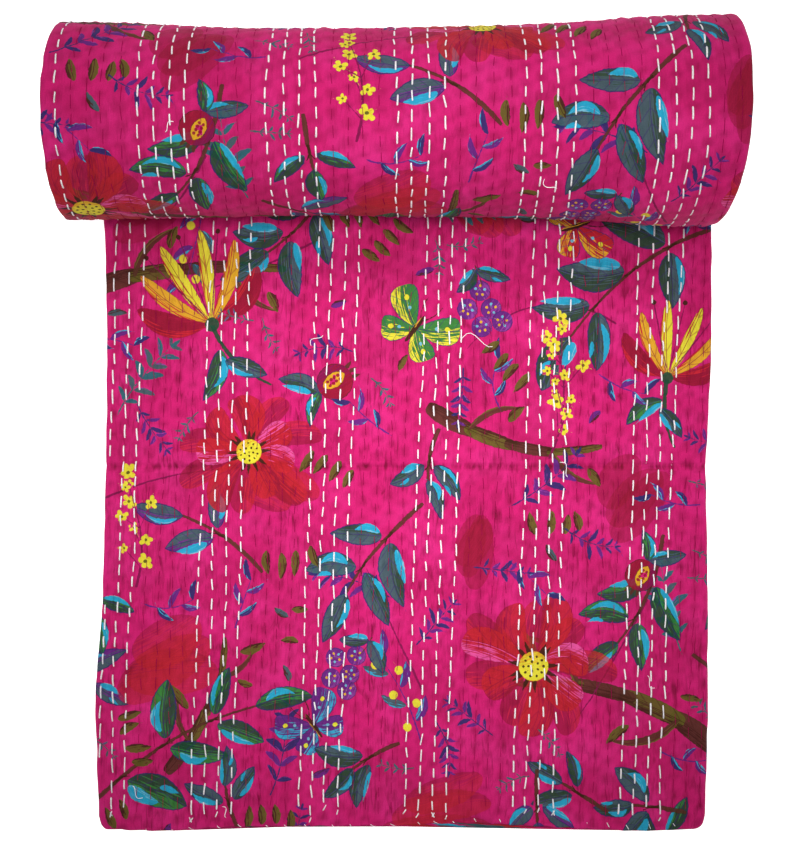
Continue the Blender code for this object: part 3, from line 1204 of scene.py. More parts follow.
    def fruit(self, spot: Spot, radius: float) -> None:
        """A round dark fruit with a small crown, split open over rows of rose seeds, between two leaves.

        Args:
            spot: Its middle.
            radius: Its radius.
        """
        self.leaf(spot.step(-radius, turn=math.pi - 0.9), radius * 2.4, LeafInks.COOL)
        self.leaf(spot.step(-radius, turn=math.pi + 0.7), radius * 2.0, LeafInks.FRESH, -1.0)
        for turn in (-0.30, 0.0, 0.30):
            at = spot.step(turn=turn)
            self.mark(at.step(0.9 * radius), radius * 0.55, radius * 0.12, Ink.BARK, tip=0.9)
        self.dot(spot, radius, Ink.CRIMSON, second=(Ink.PLUM, 0.4), rim=(Ink.BROWN, self.BOLD_RIM))
        self.mark(spot.step(-0.7 * radius, 0.1 * radius), 1.4 * radius, 0.42 * radius, Ink.AMBER,
                  tail=0.7, tip=0.7, rim=(Ink.BROWN, self.PLAIN_RIM))
        for k in range(8):
            seed = spot.step((0.22 * (k // 2) - 0.33) * radius, (0.22 if k % 2 else -0.02) * radius)
            self.dot(seed, radius * 0.10, Ink.CRIMSON)

    def blossoms(self, spot: Spot, length: float, count: int) -> None:
        """A spray of small yellow flowers on a thin forked stem.

        Args:
            spot: Where it starts.
            length: Its length.
            count: How many flowers it has.
        """
        pieces = 5
        joints = self.stem(spot, length, 0.0014, Ink.PLUM, 0.7, pieces)
        for k in range(count):
            turn = self.SIDES[1 - k % 2] * (0.5 + self.jitter(0.4))
            reach = length * (0.10 + 0.09 * (k % 3)) + self.jitter(0.004)
            twig = joints[1 + k % pieces].step(turn=turn)
            self.mark(twig, reach, 0.0006, Ink.PLUM, tail=0.1, tip=0.2)
            self.blossom(twig.step(reach, turn=self.jitter(1.5)), 0.0060 + self.jitter(0.0016))

    def blossom(self, spot: Spot, radius: float) -> None:
        """One small yellow flower.

        Args:
            spot: Its middle.
            radius: Its radius.
        """
        for k in range(5):
            at = spot.step(turn=math.tau * k / 5 + self.jitter(0.25))
            self.mark(at, radius * (1.0 + self.jitter(0.25)), radius * 0.36, Ink.YELLOW, tail=0.6, tip=0.35,
                      second=(Ink.AMBER, 0.15))
        self.dot(spot, radius * 0.24, Ink.OLIVE)

    def berries(self, spot: Spot, radius: float) -> None:
        """A hanging cluster of purple berries with a light side and a dotted eye.

        Args:
            spot: The middle of its first berry.
            radius: The radius of a berry.
        """
        for ahead, aside in ((0.0, 0.0), (1.9, 0.7), (1.5, -1.5), (3.4, -0.5), (3.3, 1.5)):
            at = spot.step(ahead * radius, aside * radius, turn=self.jitter(1.0))
            self.dot(at, radius, Ink.PURPLE, second=(Ink.VIOLET, 0.35), rim=(Ink.NAVY, self.BOLD_RIM))
            for k in range(5):
                eye = at.step(turn=math.tau * k / 5).step(radius * 0.45)
                self.dot(eye, radius * 0.14, Ink.SKY if k % 2 else Ink.AMBER)
        self.stem(spot.step(-2.4 * radius, turn=0.2), 2.0 * radius, 0.0008, Ink.BARK, -0.4, pieces=2)
        self.leaf(spot.step(-2.0 * radius, turn=1.1), 0.034, LeafInks.COOL)
        self.leaf(spot.step(-2.0 * radius, turn=-0.9), 0.028, LeafInks.DEEP, -1.0)

    def butterfly(self, spot: Spot, span: float, wing: Ink, edge: Ink) -> None:
        """A butterfly with two pairs of patterned wings.

        Args:
            spot: Its middle.
            span: The length that its wings are shares of.
            wing: Their ink.
            edge: Their second ink.
        """
        for side in self.SIDES:
            for turn, reach, half in ((0.95, 0.52, 0.17), (2.15, 0.40, 0.15)):
                at = spot.step(turn=side * turn)
                self.mark(at, span * reach, span * half, wing, bend=side * span * 0.03, tail=0.85, tip=0.30,
                          second=(edge, 0.34), veins=4.0, rim=(Ink.NAVY, self.BOLD_RIM), side=side)
                eye_rim = (Ink.BROWN, self.FINE_RIM)
                self.dot(at.step(span * reach * 0.72), span * 0.035, Ink.YELLOW, rim=eye_rim)
                self.dot(at.step(span * reach * 0.48), span * 0.022, Ink.SKY)
            self.mark(spot.step(0.1 * span, turn=side * 0.35), span * 0.30, 0.0006, Ink.BROWN,
                      bend=side * span * 0.03, tail=0.1, tip=0.1)
        self.mark(spot.step(-0.20 * span), span * 0.38, span * 0.032, Ink.BROWN, tail=0.4, tip=0.4,
                  second=(Ink.AMBER, 0.2))

    def bud_sprig(self, spot: Spot, length: float) -> None:
        """A thin stem with slim leaves and a row of yellow buds.

        Args:
            spot: Where it starts.
            length: Its length.
        """
        joints = self.stem(spot, length, 0.0009, Ink.PURPLE, self.jitter(0.5), pieces=5)
        for k, joint in enumerate(joints[1:]):
            side = self.SIDES[1 - k % 2]
            leaf, ink = joint.step(turn=side * 0.7).step(0.003), Ink.SLATE if k % 2 else Ink.PURPLE
            self.mark(leaf, length * 0.30, length * 0.052, ink, bend=side * 0.002, tail=0.6, tip=0.8,
                      second=(Ink.CYAN, 0.28), rim=(Ink.NAVY, self.FINE_RIM))
            self.dot(joint.step(0.0, -side * 0.008), 0.0042, Ink.YELLOW, rim=(Ink.AMBER, self.PLAIN_RIM))

    def wash(self, spot: Spot, length: float, half: float, ink: Ink, cover: float) -> None:
        """A broad thin patch of ink with a ragged edge.

        Args:
            spot: Where it starts.
            length: Its length.
            half: Half the width of each of its strokes.
            ink: Its ink.
            cover: How much of the ground it hides.
        """
        for k in range(3):
            at = spot.step(0.12 * length * k, (k - 1) * half * 0.7, turn=self.jitter(0.3))
            self.mark(at, length * (1.0 - 0.15 * k), half, ink, bend=self.jitter(0.2) * half, tail=0.45,
                      second=(Ink.CRIMSON, 0.3), cover=cover)

    def open_places(self, count: int, clear: float, size: tuple[float, float]) -> list[Spot]:
        """Finds places on the repeat that lie clear of every stroke so far, and of each other.

        Args:
            count: How many places to look for.
            clear: How far from the nearest stroke each has to lie.
            size: The width and the length of the repeat.

        Returns:
            The places, each turned at random.
        """
        tries = 4000
        taken = np.array([
            (s.x + share * s.length * math.cos(s.turn), s.y + share * s.length * math.sin(s.turn))
            for s in self.strokes for share in (0.0, 0.5, 1.0)
        ])
        span = np.array(size)
        found: list[Spot] = []
        for _ in range(tries):
            if len(found) == count:
                break
            at = self.draw.uniform(0.0, 1.0, 2) * span - np.array((span[0] / 2, 0.0))
            gap = np.abs(np.remainder(taken - at + span / 2, span) - span / 2)
            if np.hypot(*gap.T).min() < clear:
                continue
            found.append(Spot(float(at[0]), float(at[1]), float(self.draw.uniform(0.0, math.tau))))
            taken = np.concatenate((taken, [at]))
        return found

    def fill(self, size: tuple[float, float]) -> None:
        """Puts small motifs where the large ones leave the ground bare, in the widest gaps first.

        Args:
            size: The width and the length of the repeat.
        """
        for k, spot in enumerate(self.open_places(9, 0.038, size)):
            self.leafy_branch(spot.step(-0.030), 0.050, self.jitter(0.8), 0.040, 1, list(LeafInks)[k % 4])
        for k, spot in enumerate(self.open_places(30, 0.025, size)):
            if k % 3 == 0:
                self.husks(spot, 0.022)
            elif k % 3 == 1:
                self.fern(spot.step(-0.024), 0.050, (Ink.NAVY, Ink.PURPLE), self.jitter(0.8))
            else:
                self.twig(spot.step(-0.022), 0.046)
        for k, spot in enumerate(self.open_places(34, 0.018, size)):
            if k % 2:
                self.fern(spot.step(-0.014), 0.030, (Ink.SLATE, Ink.TEAL), self.jitter(0.8), pairs=4)
            else:
                self.husk(spot.step(-0.008), 0.018, (Ink.OLIVE, Ink.PURPLE, Ink.SLATE)[k % 3])

    def unit(self, size: tuple[float, float]) -> list[Stroke]:
        """Draws one repeat of the design: large motifs where the plan has them, then small ones between.

        Args:
            size: The width and the length of the repeat.

        Returns:
            Its strokes, from the first laid to the last.
        """
        up, down = math.pi / 2, -math.pi / 2
        dark, night, red, pink = (Ink.TEAL, Ink.SLATE), (Ink.NAVY, Ink.PURPLE), Ink.RED, Ink.CRIMSON
        cool, deep, new, dusk = LeafInks
        # Each row has a motif's x, y and turn, and then what its method takes.
        plan = (
            (self.wash, (
                (-0.265, 0.135, 0.3, 0.100, 0.022, red, 0.62), (0.190, 0.275, 0.9, 0.08, 0.018, pink, 0.55),
                (-0.020, 0.005, 0.1, 0.110, 0.016, red, 0.60), (-0.080, 0.300, 2.6, 0.075, 0.015, red, 0.66),
                (0.060, 0.225, 1.2, 0.070, 0.014, pink, 0.60), (-0.270, 0.560, 0.4, 0.09, 0.018, pink, 0.55),
                (0.100, 0.545, 2.2, 0.080, 0.017, red, 0.62),
            )),
            (self.bough, (
                (0.300, 0.070, 2.5, 0.200, 0.0100, 0.5), (-0.290, 0.500, 0.3, 0.180, 0.0090, -0.6),
                (0.030, 0.390, -0.5, 0.160, 0.0080, 0.8), (-0.215, 0.055, 0.9, 0.130, 0.0065, 0.7),
            )),
            (self.vine, (
                (-0.290, 0.300, 0.4, 0.150), (0.020, 0.130, 2.0, 0.120), (0.200, 0.470, 2.7, 0.150),
                (-0.080, 0.545, 3.6, 0.110), (0.230, 0.210, 4.2, 0.130),
            )),
            (self.fern, (
                (-0.120, 0.030, 1.2, 0.085, night, 0.5), (0.262, 0.165, 1.9, 0.080, dark, -0.4),
                (-0.010, 0.215, 2.6, 0.070, night, 0.5), (0.105, 0.300, 0.5, 0.075, night, 0.6),
                (-0.262, 0.385, 1.1, 0.080, dark, -0.5), (0.020, 0.585, -0.3, 0.070, dark, 0.5),
            )),
            (self.leafy_branch, (
                (-0.30, 0.010, 0.75, 0.2, -0.5, 0.057, 3, new), (0.300, 0.560, 3.5, 0.18, 0.6, 0.06, 3, deep),
                (0.020, 0.300, 3.9, 0.11, 0.4, 0.054, 2, cool), (0.245, 0.270, 4.5, 0.11, -0.6, 0.05, 2, new),
                (-0.06, 0.610, 4.2, 0.1, -0.5, 0.055, 2, deep), (-0.13, 0.240, 2.4, 0.09, 0.6, 0.05, 1, dusk),
            )),
            (self.blossoms, ((0.140, 0.345, 1.2, 0.110, 14), (-0.245, 0.225, 1.35, 0.090, 10))),
            (self.bud_sprig, ((0.020, 0.080, up + 0.3, 0.085), (-0.180, 0.590, down - 0.2, 0.080))),
            (self.berries, ((0.075, 0.500, down + 0.2, 0.0098), (-0.040, 0.160, down - 0.7, 0.0092))),
            (self.bloom, ((0.125, 0.150, 0.2, 0.066), (-0.140, 0.350, 0.6, 0.056))),
            (self.lily, ((-0.175, 0.470, up + 0.35, 0.090), (0.250, 0.420, up - 0.25, 0.074))),
            (self.fruit, ((-0.060, 0.415, 0.6, 0.0170), (0.225, 0.235, down - 0.5, 0.0150))),
            (self.butterfly, (
                (0.015, 0.465, 0.9, 0.080, Ink.GREEN, Ink.YELLOW),
                (-0.080, 0.095, 2.2, 0.070, Ink.PURPLE, Ink.CYAN), (0.165, 0.560, 0.3, 0.075, red, Ink.AMBER),
            )),
        )
        for motif, rows in plan:
            for x, y, turn, *rest in rows:
                motif(Spot(x, y, turn), *rest)
        self.fill(size)
        return self.strokes


class StrokeTable:
    """The strokes of a print in columns, one row of numbers for each stroke."""

    def __init__(self, strokes: Sequence[Stroke]) -> None:
        """Fills the columns.

        Args:
            strokes: The strokes.
        """
        self.strokes = strokes
        self.x, self.y, self.turn, self.length = map(self.column, ("x", "y", "turn", "length"))
        self.half, self.bend, self.tail, self.tip = map(self.column, ("half", "bend", "tail", "tip"))
        self.side, self.veins, self.cover = map(self.column, ("side", "veins", "cover"))
        fullest = self.tail / (self.tail + self.tip)
        self.fullness = fullest**self.tail * (1.0 - fullest) ** self.tip
        colours = {ink: paint(ink.value)[:3] for ink in Ink}
        self.ink = np.array([colours[stroke.ink] for stroke in strokes])
        seconds = [stroke.second or (stroke.ink, 0.0) for stroke in strokes]
        rims = [stroke.rim or (stroke.ink, 0.0) for stroke in strokes]
        self.second, self.rim = (np.array([colours[ink] for ink, _ in pairs]) for pairs in (seconds, rims))
        self.share, self.rim_width = (np.array([number for _, number in pairs]) for pairs in (seconds, rims))

    def column(self, name: str) -> Array:
        """One number of every stroke."""
        return np.array([getattr(stroke, name) for stroke in self.strokes], dtype=float)

    def local(self, number: Array | int, x: Array, y: Array) -> tuple[Array, Array]:
        """Finds places in a stroke's own measure.

        Args:
            number: The stroke, or one for each place.
            x: The places across the cloth.
            y: The places along it.

        Returns:
            The share of the stroke's length that each has come, and its distance to the left of its line.
        """
        cos, sin = np.cos(self.turn[number]), np.sin(self.turn[number])
        off_x, off_y = x - self.x[number], y - self.y[number]
        share = (off_x * cos + off_y * sin) / self.length[number]
        aside = -off_x * sin + off_y * cos - self.bend[number] * 4.0 * share * (1.0 - share)
        return share, aside

    def width(self, number: int, share: Array) -> Array:
        """Half a stroke's width at a share of its length."""
        held, full = np.clip(share, 0.0, 1.0), self.half[number] / self.fullness[number]
        return full * held ** self.tail[number] * (1.0 - held) ** self.tip[number]


class PrintedFace:
    """Lays a print on a mesh: each face holds the strokes that cross it, as attributes that a material reads.

    SLOTS is how many strokes a face can hold, and NEAR how far from its middle one may lie to cross it.
    """

    SLOTS = 6
    NEAR = 0.0034
    MILLIMETRES = 1000.0

    def __init__(self, mesh: bpy.types.Mesh, cloth: Array, starts: Array) -> None:
        """Keeps the mesh and finds the middles of its faces.

        Args:
            mesh: The mesh.
            cloth: The cloth places of its face corners.
            starts: The number of each face's first corner.
        """
        self.mesh = mesh
        self.cloth = cloth
        self.sizes = np.diff(np.append(starts, len(cloth)))
        self.face_of = np.repeat(np.arange(len(starts)), self.sizes)
        self.middle = np.add.reduceat(cloth, starts) / self.sizes[:, None]

    def lay(self, strokes: Sequence[Stroke]) -> int:
        """Writes the strokes' attributes. A face that is crossed by too many keeps the last laid.

        Args:
            strokes: The strokes, from the first laid to the last.

        Returns:
            The greatest number of strokes that cross one face.
        """
        table = StrokeTable(strokes)
        shown = np.flatnonzero(self.middle[:, 0] < HIDDEN_SPLIT)
        shown = shown[np.argsort(self.middle[shown, 1], kind="stable")]
        x, y = self.middle[shown].T
        held = np.full((len(self.sizes), self.SLOTS), -1)
        count = np.zeros(len(self.sizes), dtype=int)
        for number in range(len(strokes)):
            reach = table.length[number] + table.half[number] + self.NEAR
            low, high = np.searchsorted(y, (table.y[number] - reach, table.y[number] + reach))
            near = low + np.flatnonzero(np.abs(x[low:high] - table.x[number]) < reach)
            share, aside = table.local(number, x[near], y[near])
            margin = self.NEAR / table.length[number]
            within = (share > -margin) & (share < 1.0 + margin)
            beside = (share + k * margin for k in (-1.0, -0.5, 0.0, 0.5, 1.0))
            widest = np.maximum.reduce([table.width(number, place) for place in beside])
            faces = shown[near[within & (np.abs(aside) < widest + self.NEAR)]]
            full = faces[count[faces] >= self.SLOTS]
            held[full, :-1] = held[full, 1:]
            held[full, -1] = number
            free = faces[count[faces] < self.SLOTS]
            held[free, count[free]] = number
            count[faces] += 1
        for slot in range(self.SLOTS):
            self.write_slot(slot, held[:, slot], table)
        return int(count.max())

    def write_slot(self, slot: int, numbers: Array, table: StrokeTable) -> None:
        """Writes one slot's attributes, with zeros on the faces where it is empty.

        Args:
            slot: The number of the slot.
            numbers: The stroke of each face in it, or -1.
            table: The strokes.
        """
        used = numbers >= 0
        safe = np.where(used, numbers, 0)
        corner = safe[self.face_of]
        share, aside = table.local(corner, self.cloth[:, 0], self.cloth[:, 1])
        # A different number for each stroke, which shifts the pattern of its bristles.
        seed = corner * 0.37 % 9.0
        place = np.stack([share, aside * self.MILLIMETRES * table.side[corner], seed], axis=1)
        place[~used[self.face_of]] = 0.0
        store(self.mesh, f"mark{slot}_place", "FLOAT_VECTOR", "CORNER", place)
        full = table.half / table.fullness * self.MILLIMETRES
        columns = {
            "form": np.stack([table.tail, table.tip, full, table.veins], axis=1),
            "ink": np.column_stack([table.ink, table.cover]),
            "second": np.column_stack([table.second, table.share]),
            "rim": np.column_stack([table.rim, table.rim_width * self.MILLIMETRES]),
        }
        for name, rows in columns.items():
            shown = np.where(used[:, None], rows[safe], 0.0)
            store(self.mesh, f"mark{slot}_{name}", "FLOAT_COLOR", "FACE", shown)


# ---- nodes


class Wire:
    """One output of a node. Sums and products of wires and numbers add the Math nodes that work them out."""

    def __init__(self, board: "Board", socket: bpy.types.NodeSocket) -> None:
        """Wraps a socket of a board's tree."""
        self.board = board
        self.socket = socket

    def __add__(self, other: "Wire | float") -> "Wire":
        """The sum."""
        return self.board.math("ADD", self, other)

    def __radd__(self, other: float) -> "Wire":
        """The sum, the other way."""
        return self.board.math("ADD", other, self)

    def __sub__(self, other: "Wire | float") -> "Wire":
        """The difference."""
        return self.board.math("SUBTRACT", self, other)

    def __rsub__(self, other: float) -> "Wire":
        """The difference, the other way."""
        return self.board.math("SUBTRACT", other, self)

    def __mul__(self, other: "Wire | float") -> "Wire":
        """The product."""
        return self.board.math("MULTIPLY", self, other)

    def __rmul__(self, other: float) -> "Wire":
        """The product, the other way."""
        return self.board.math("MULTIPLY", other, self)

    def __truediv__(self, other: "Wire | float") -> "Wire":
        """The quotient."""
        return self.board.math("DIVIDE", self, other)

    def __pow__(self, other: "Wire | float") -> "Wire":
        """The power."""
        return self.board.math("POWER", self, other)

    def __abs__(self) -> "Wire":
        """The size without its sign."""
        return self.board.math("ABSOLUTE", self)

    def mask(self, gain: float, offset: float = 0.0) -> "Wire":
        """The wire times a gain plus an offset, held between 0 and 1."""
        return self.board.math("MULTIPLY_ADD", self, gain, offset, clamp=True)

    def wave(self) -> "Wire":
        """Its sine."""
        return self.board.math("SINE", self)


class Board:
    """The nodes of one tree, as they are added."""

    MIX_FACTOR, MIX_A, MIX_B, MIX_RESULT = 0, 6, 7, 2

    def __init__(self, tree: bpy.types.NodeTree) -> None:
        """Starts on a tree."""
        self.tree = tree

    def plug(self, node: bpy.types.Node, inputs: Inputs) -> None:
        """Fills a node's sockets.

        Args:
            node: The node.
            inputs: For its sockets, by name or number, a value or the wire that feeds it.
        """
        for name, value in (inputs or {}).items():
            if isinstance(value, Wire):
                self.tree.links.new(value.socket, node.inputs[name])
            else:
                node.inputs[name].default_value = value

    def add(self, kind: str, settings: Settings = None, inputs: Inputs = None) -> bpy.types.Node:
        """Adds one node.

        Args:
            kind: The node's type.
            settings: Its own settings, set first.
            inputs: What fills its sockets.

        Returns:
            The node.
        """
        node = self.tree.nodes.new(kind)
        for name, value in (settings or {}).items():
            setattr(node, name, value)
        self.plug(node, inputs)
        return node

    def wire(self, kind: str, settings: Settings = None, inputs: Inputs = None, out: str | int = 0) -> Wire:
        """Adds one node and returns one of its outputs, the first unless another is named."""
        return Wire(self, self.add(kind, settings, inputs).outputs[out])

    def math(self, operation: str, *values: "Wire | float", clamp: bool = False) -> Wire:
        """Adds a Math node."""
        settings = {"operation": operation, "use_clamp": clamp}
        return self.wire("ShaderNodeMath", settings, dict(enumerate(values)))

    def blend(self, share: Wire | float, first: Any, second: Any, way: str = "MIX") -> Wire:
        """Adds a Mix node on colours: the first where the share is 0, the second where it is 1."""
        inputs = {self.MIX_FACTOR: share, self.MIX_A: first, self.MIX_B: second}
        return self.wire("ShaderNodeMix", {"data_type": "RGBA", "blend_type": way}, inputs, self.MIX_RESULT)

    def stretched(self, place: Wire, scale: Place) -> Wire:
        """A place multiplied by a scale, axis by axis."""
        return self.wire("ShaderNodeVectorMath", {"operation": "MULTIPLY"}, {0: place, 1: scale})

    def joined(self, x: Wire | float, y: Wire | float, z: Wire | float = 0.0) -> Wire:
        """A vector from its parts."""
        return self.wire("ShaderNodeCombineXYZ", inputs={0: x, 1: y, 2: z})

    def parts(self, vector: Wire) -> list[Wire]:
        """The three parts of a vector."""
        return [Wire(self, out) for out in self.add("ShaderNodeSeparateXYZ", inputs={0: vector}).outputs]

    def attribute(self, name: str, *outs: str) -> list[Wire]:
        """Outputs of a node that reads one of the mesh's attributes."""
        node = self.add("ShaderNodeAttribute", {"attribute_name": name})
        return [Wire(self, node.outputs[out]) for out in outs]

    def noise(
        self, place: Wire, scale: float, detail: float = 2.0, dimensions: str = "2D", bent: float = 0.0
    ) -> Wire:
        """The value of a Noise texture, about 0.5 on average, its lines bent about by the last number."""
        inputs = {"Vector": place, "Scale": scale, "Detail": detail, "Distortion": bent}
        return self.wire("ShaderNodeTexNoise", {"noise_dimensions": dimensions}, inputs, "Fac")

    def bump(self, height: Wire, depth: float, strength: float) -> Wire:
        """The normal of a surface whose relief is this deep."""
        inputs = {"Strength": strength, "Distance": depth, "Height": height}
        return self.wire("ShaderNodeBump", inputs=inputs, out="Normal")


class ShaderBoard(Board):
    """The nodes of a new material, round its Principled shader."""

    def __init__(self, name: str) -> None:
        """Makes the material.

        Args:
            name: Its name.
        """
        self.material = bpy.data.materials.new(name)
        self.material.use_nodes = True
        super().__init__(self.material.node_tree)

    def finished(self, inputs: Inputs) -> bpy.types.Material:
        """The material, once its shader's sockets are filled."""
        self.plug(self.tree.nodes["Principled BSDF"], inputs)
        return self.material


# ---- finishes


@dataclass(frozen=True)
class PrintedCotton:
    """Thin printed cotton, puckered by its quilting.

    Attributes:
        ground: The colour of the dyed ground.
        light_ground: Its colour where the dye took less.
        shade: The colour of the painted shade, in the furrows, the crinkles and at the old crease.
        crinkle_depth: The depth of the fine crinkles, in metres.
        crease_at: How far from the hem the cloth was once folded across.
        crease_sharpness: How soon the painted shade of that fold ends beside it.
        weave_pitch: The distance from thread to thread.
        roughness: The cloth's.
    """

    ground: str = "#C41B68"
    light_ground: str = "#CF2677"
    # The painted shade's colour.
    shade: str = "#7C0832"
    crinkle_depth: float = 0.0006
    crease_at: float = 0.3360
    crease_sharpness: float = 230.0
    weave_pitch: float = 0.0007
    roughness: float = 0.86

    def stroke(self, board: Board, slot: int, wobble: Wire, under: Wire) -> Wire:
        """Paints one slot's stroke over what lies below it.

        Args:
            board: The board.
            slot: The number of the slot.
            wobble: How far the ink strays over an edge, in millimetres.
            under: The colour below.

        Returns:
            The colour with the stroke on it.
        """
        mark = f"mark{slot}_"
        share, aside, seed = board.parts(*board.attribute(mark + "place", "Vector"))
        form, veins = board.attribute(mark + "form", "Vector", "Alpha")
        ink, cover = board.attribute(mark + "ink", "Color", "Alpha")
        second, amount = board.attribute(mark + "second", "Color", "Alpha")
        rim_ink, rim_width = board.attribute(mark + "rim", "Color", "Alpha")
        tail, tip, full = board.parts(form)
        held = share.mask(1.0)
        width = held**tail * (1.0 - held) ** tip * full
        size = abs(aside)
        edge = width - size + wobble
        inside = edge.mask(2.6, 0.1)
        streak = board.noise(board.joined(share * 2.4 + seed, aside * 0.8 + seed), 1.0, 1.5)
        tone = aside / (width + 0.2) + (streak - 0.5) * 3.4 + amount * 2.0 - 1.0
        body = board.blend(tone.mask(3.5), ink, second)
        thin = board.blend((streak - 0.52).mask(1.5), body, (1.0, 0.9, 0.95, 1.0), "SOFT_LIGHT")
        middle_vein = (0.40 - size).mask(4.0) * veins.mask(1.0)
        side_vein = ((share * veins * 8.0 - size * 0.55).wave() - 0.86).mask(6.0) * veins.mask(1.0) * 0.6
        rim = (rim_width - edge).mask(2.6, 0.5) * rim_width.mask(8.0)
        line = board.math("MAXIMUM", board.math("MAXIMUM", middle_vein, side_vein), rim)
        return board.blend(inside * cover, under, board.blend(line, thin, rim_ink))

    def dark_lines(self, board: Board, cloth: Wire, along: Wire) -> Wire:
        """How much painted shade the cloth gets in fine broken lines along the rows, for its crinkles, and at
        the old crease.

        Args:
            board: The board.
            cloth: The place on the cloth.
            along: How far along the cloth that is.

        Returns:
            The painted shade, from 0 to 1, weaker where the roll draws the cloth taut.
        """
        fine = board.noise(board.stretched(cloth, (430.0, 56.0, 1.0)), 1.0, 2.0, bent=0.5)
        broad = board.noise(board.stretched(cloth, (170.0, 40.0, 1.0)), 1.0, 3.0, bent=0.8)
        patchy = board.noise(cloth, 26.0)
        lines = (fine - 0.55).mask(4.5) * 0.62 + (broad - 0.54).mask(4.0) * 0.72
        # Painted shade in a band along the old crease.
        near_crease = (1.0 - abs(along - self.crease_at) * self.crease_sharpness).mask(1.0)
        crease_shade = near_crease * (broad - 0.38).mask(4.0)
        taut = (along - ROLL_SPLIT).mask(100.0)
        return (lines * (patchy - 0.22).mask(2.2) * (1.0 - taut * 0.55) + crease_shade * 0.8).mask(1.0)

    def ground_colour(self, board: Board, cloth: Wire, sunk: Wire, lines: Wire) -> Wire:
        """The dyed ground: a little uneven, with painted shade down in the furrows and in the crinkles.

        Args:
            board: The board.
            cloth: The place on the cloth.
            sunk: How much painted shade the furrows lay on it.
            lines: How much painted shade the crinkles lay on it.

        Returns:
            The colour.
        """
        cloud = (board.noise(cloth, 22.0, 3.0) - 0.42).mask(3.0)
        tint = board.blend(cloud, paint(self.ground), paint(self.light_ground))
        # Painted shade: the ground is blended towards the shade colour in the furrows and the crinkles.
        return board.blend((sunk * 0.30 + lines * 0.62).mask(1.0), tint, paint(self.shade))

    def edge_dabs(self, board: Board, cloth: Wire, ground: Wire) -> Wire:
        """What the folded edges show of the print: scattered dabs of its inks.

        Args:
            board: The board.
            cloth: The place on the cloth.
            ground: The ground's colour.

        Returns:
            The ground's colour with the dabs on it.
        """
        colour = ground
        cool = {Ink.SLATE: (31.0, 0.60), Ink.CYAN: (43.0, 0.66)}
        warm = {Ink.RED: (27.0, 0.63), Ink.YELLOW: (52.0, 0.69)}
        for ink, (scale, threshold) in (cool | warm).items():
            colour = board.blend((board.noise(cloth, scale) - threshold).mask(40.0), colour, paint(ink.value))
        return colour

    def material(self) -> bpy.types.Material:
        """Builds the material.

        Returns:
            The material, which reads the cloth's two maps and the strokes that its faces hold.
        """
        board = ShaderBoard("printed_cotton")
        cloth = board.wire("ShaderNodeUVMap", {"uv_map": "cloth"})
        sunk, = board.attribute("sunk", "Fac")
        across, along, _ = board.parts(cloth)
        # How much painted shade the crinkles and the crease lay on the cloth.
        lines = self.dark_lines(board, cloth, along)
        ground = self.ground_colour(board, cloth, sunk, lines)
        wobble = (board.noise(cloth, 310.0) - 0.5) * 1.5
        colour = ground
        for slot in range(PrintedFace.SLOTS):
            colour = self.stroke(board, slot, wobble, colour)
        on_edge = (across - HIDDEN_SPLIT).mask(1000.0)
        colour = board.blend(on_edge, colour, self.edge_dabs(board, cloth, ground))
        # Painted shade of the furrows, the crinkles and the crease, multiplied over the print as well as the
        # ground.
        colour = board.blend((sunk * 0.14 + lines * 0.32).mask(1.0), colour, paint(self.shade), "MULTIPLY")
        grain = board.blend(board.noise(cloth, 900.0), paint("#000000"), paint("#FFFFFF"))
        colour = board.blend(0.16, colour, grain, "OVERLAY")
        crinkle = board.noise(board.stretched(cloth, (240.0, 42.0, 1.0)), 1.0, 3.0, bent=0.6) - lines * 0.6
        turn = math.tau / self.weave_pitch
        warp, weft, _ = board.parts(board.stretched(cloth, (turn, turn, 1.0)))
        height = crinkle + board.noise(cloth, 130.0, 3.0) * 0.9 + warp.wave() * weft.wave() * 0.035
        return board.finished({
            "Base Color": colour, "Normal": board.bump(height, self.crinkle_depth, 0.9),
            "Roughness": self.roughness, "Specular IOR Level": 0.12,
            "Sheen Weight": 0.03, "Sheen Roughness": 0.5,
        })


@dataclass(frozen=True)
class CottonThread:
    """Twisted cotton thread.

    Attributes:
        name: The material's name.
        colour: Its colour.
        hollow: Its colour between the plies, a painted shade.
        twists: How many times it is twisted in a stitch.
        sheen: How much soft light its fuzz catches.
        ply_depth: The depth of the grooves between its plies.
    """

    name: str
    colour: str
    hollow: str
    twists: float = 5.0
    sheen: float = 0.2
    ply_depth: float = 0.0003

    def material(self) -> bpy.types.Material:
        """Builds the material.

        Returns:
            The material: slanting plies with painted shade between them, from the place along and round the
                thread.
        """
        board = ShaderBoard(self.name)
        along, around, _ = board.parts(*board.attribute("ply", "Vector"))
        strand = ((along * self.twists + around * 2.0) * math.tau).wave() * 0.5 + 0.5
        fuzz = board.noise(board.wire("ShaderNodeTexCoord", out="Object"), 2400.0, dimensions="3D")
        # Painted shade between the plies: the thread's colour is blended towards a darker one there.
        colour = board.blend(strand.mask(1.0), paint(self.hollow), paint(self.colour))
        return board.finished({
            "Base Color": board.blend((fuzz - 0.3).mask(0.5), colour, paint(self.colour)), "Roughness": 0.8,
            "Normal": board.bump(strand + fuzz * 0.5, self.ply_depth, 0.7),
            "Specular IOR Level": self.sheen, "Sheen Weight": self.sheen,
        })


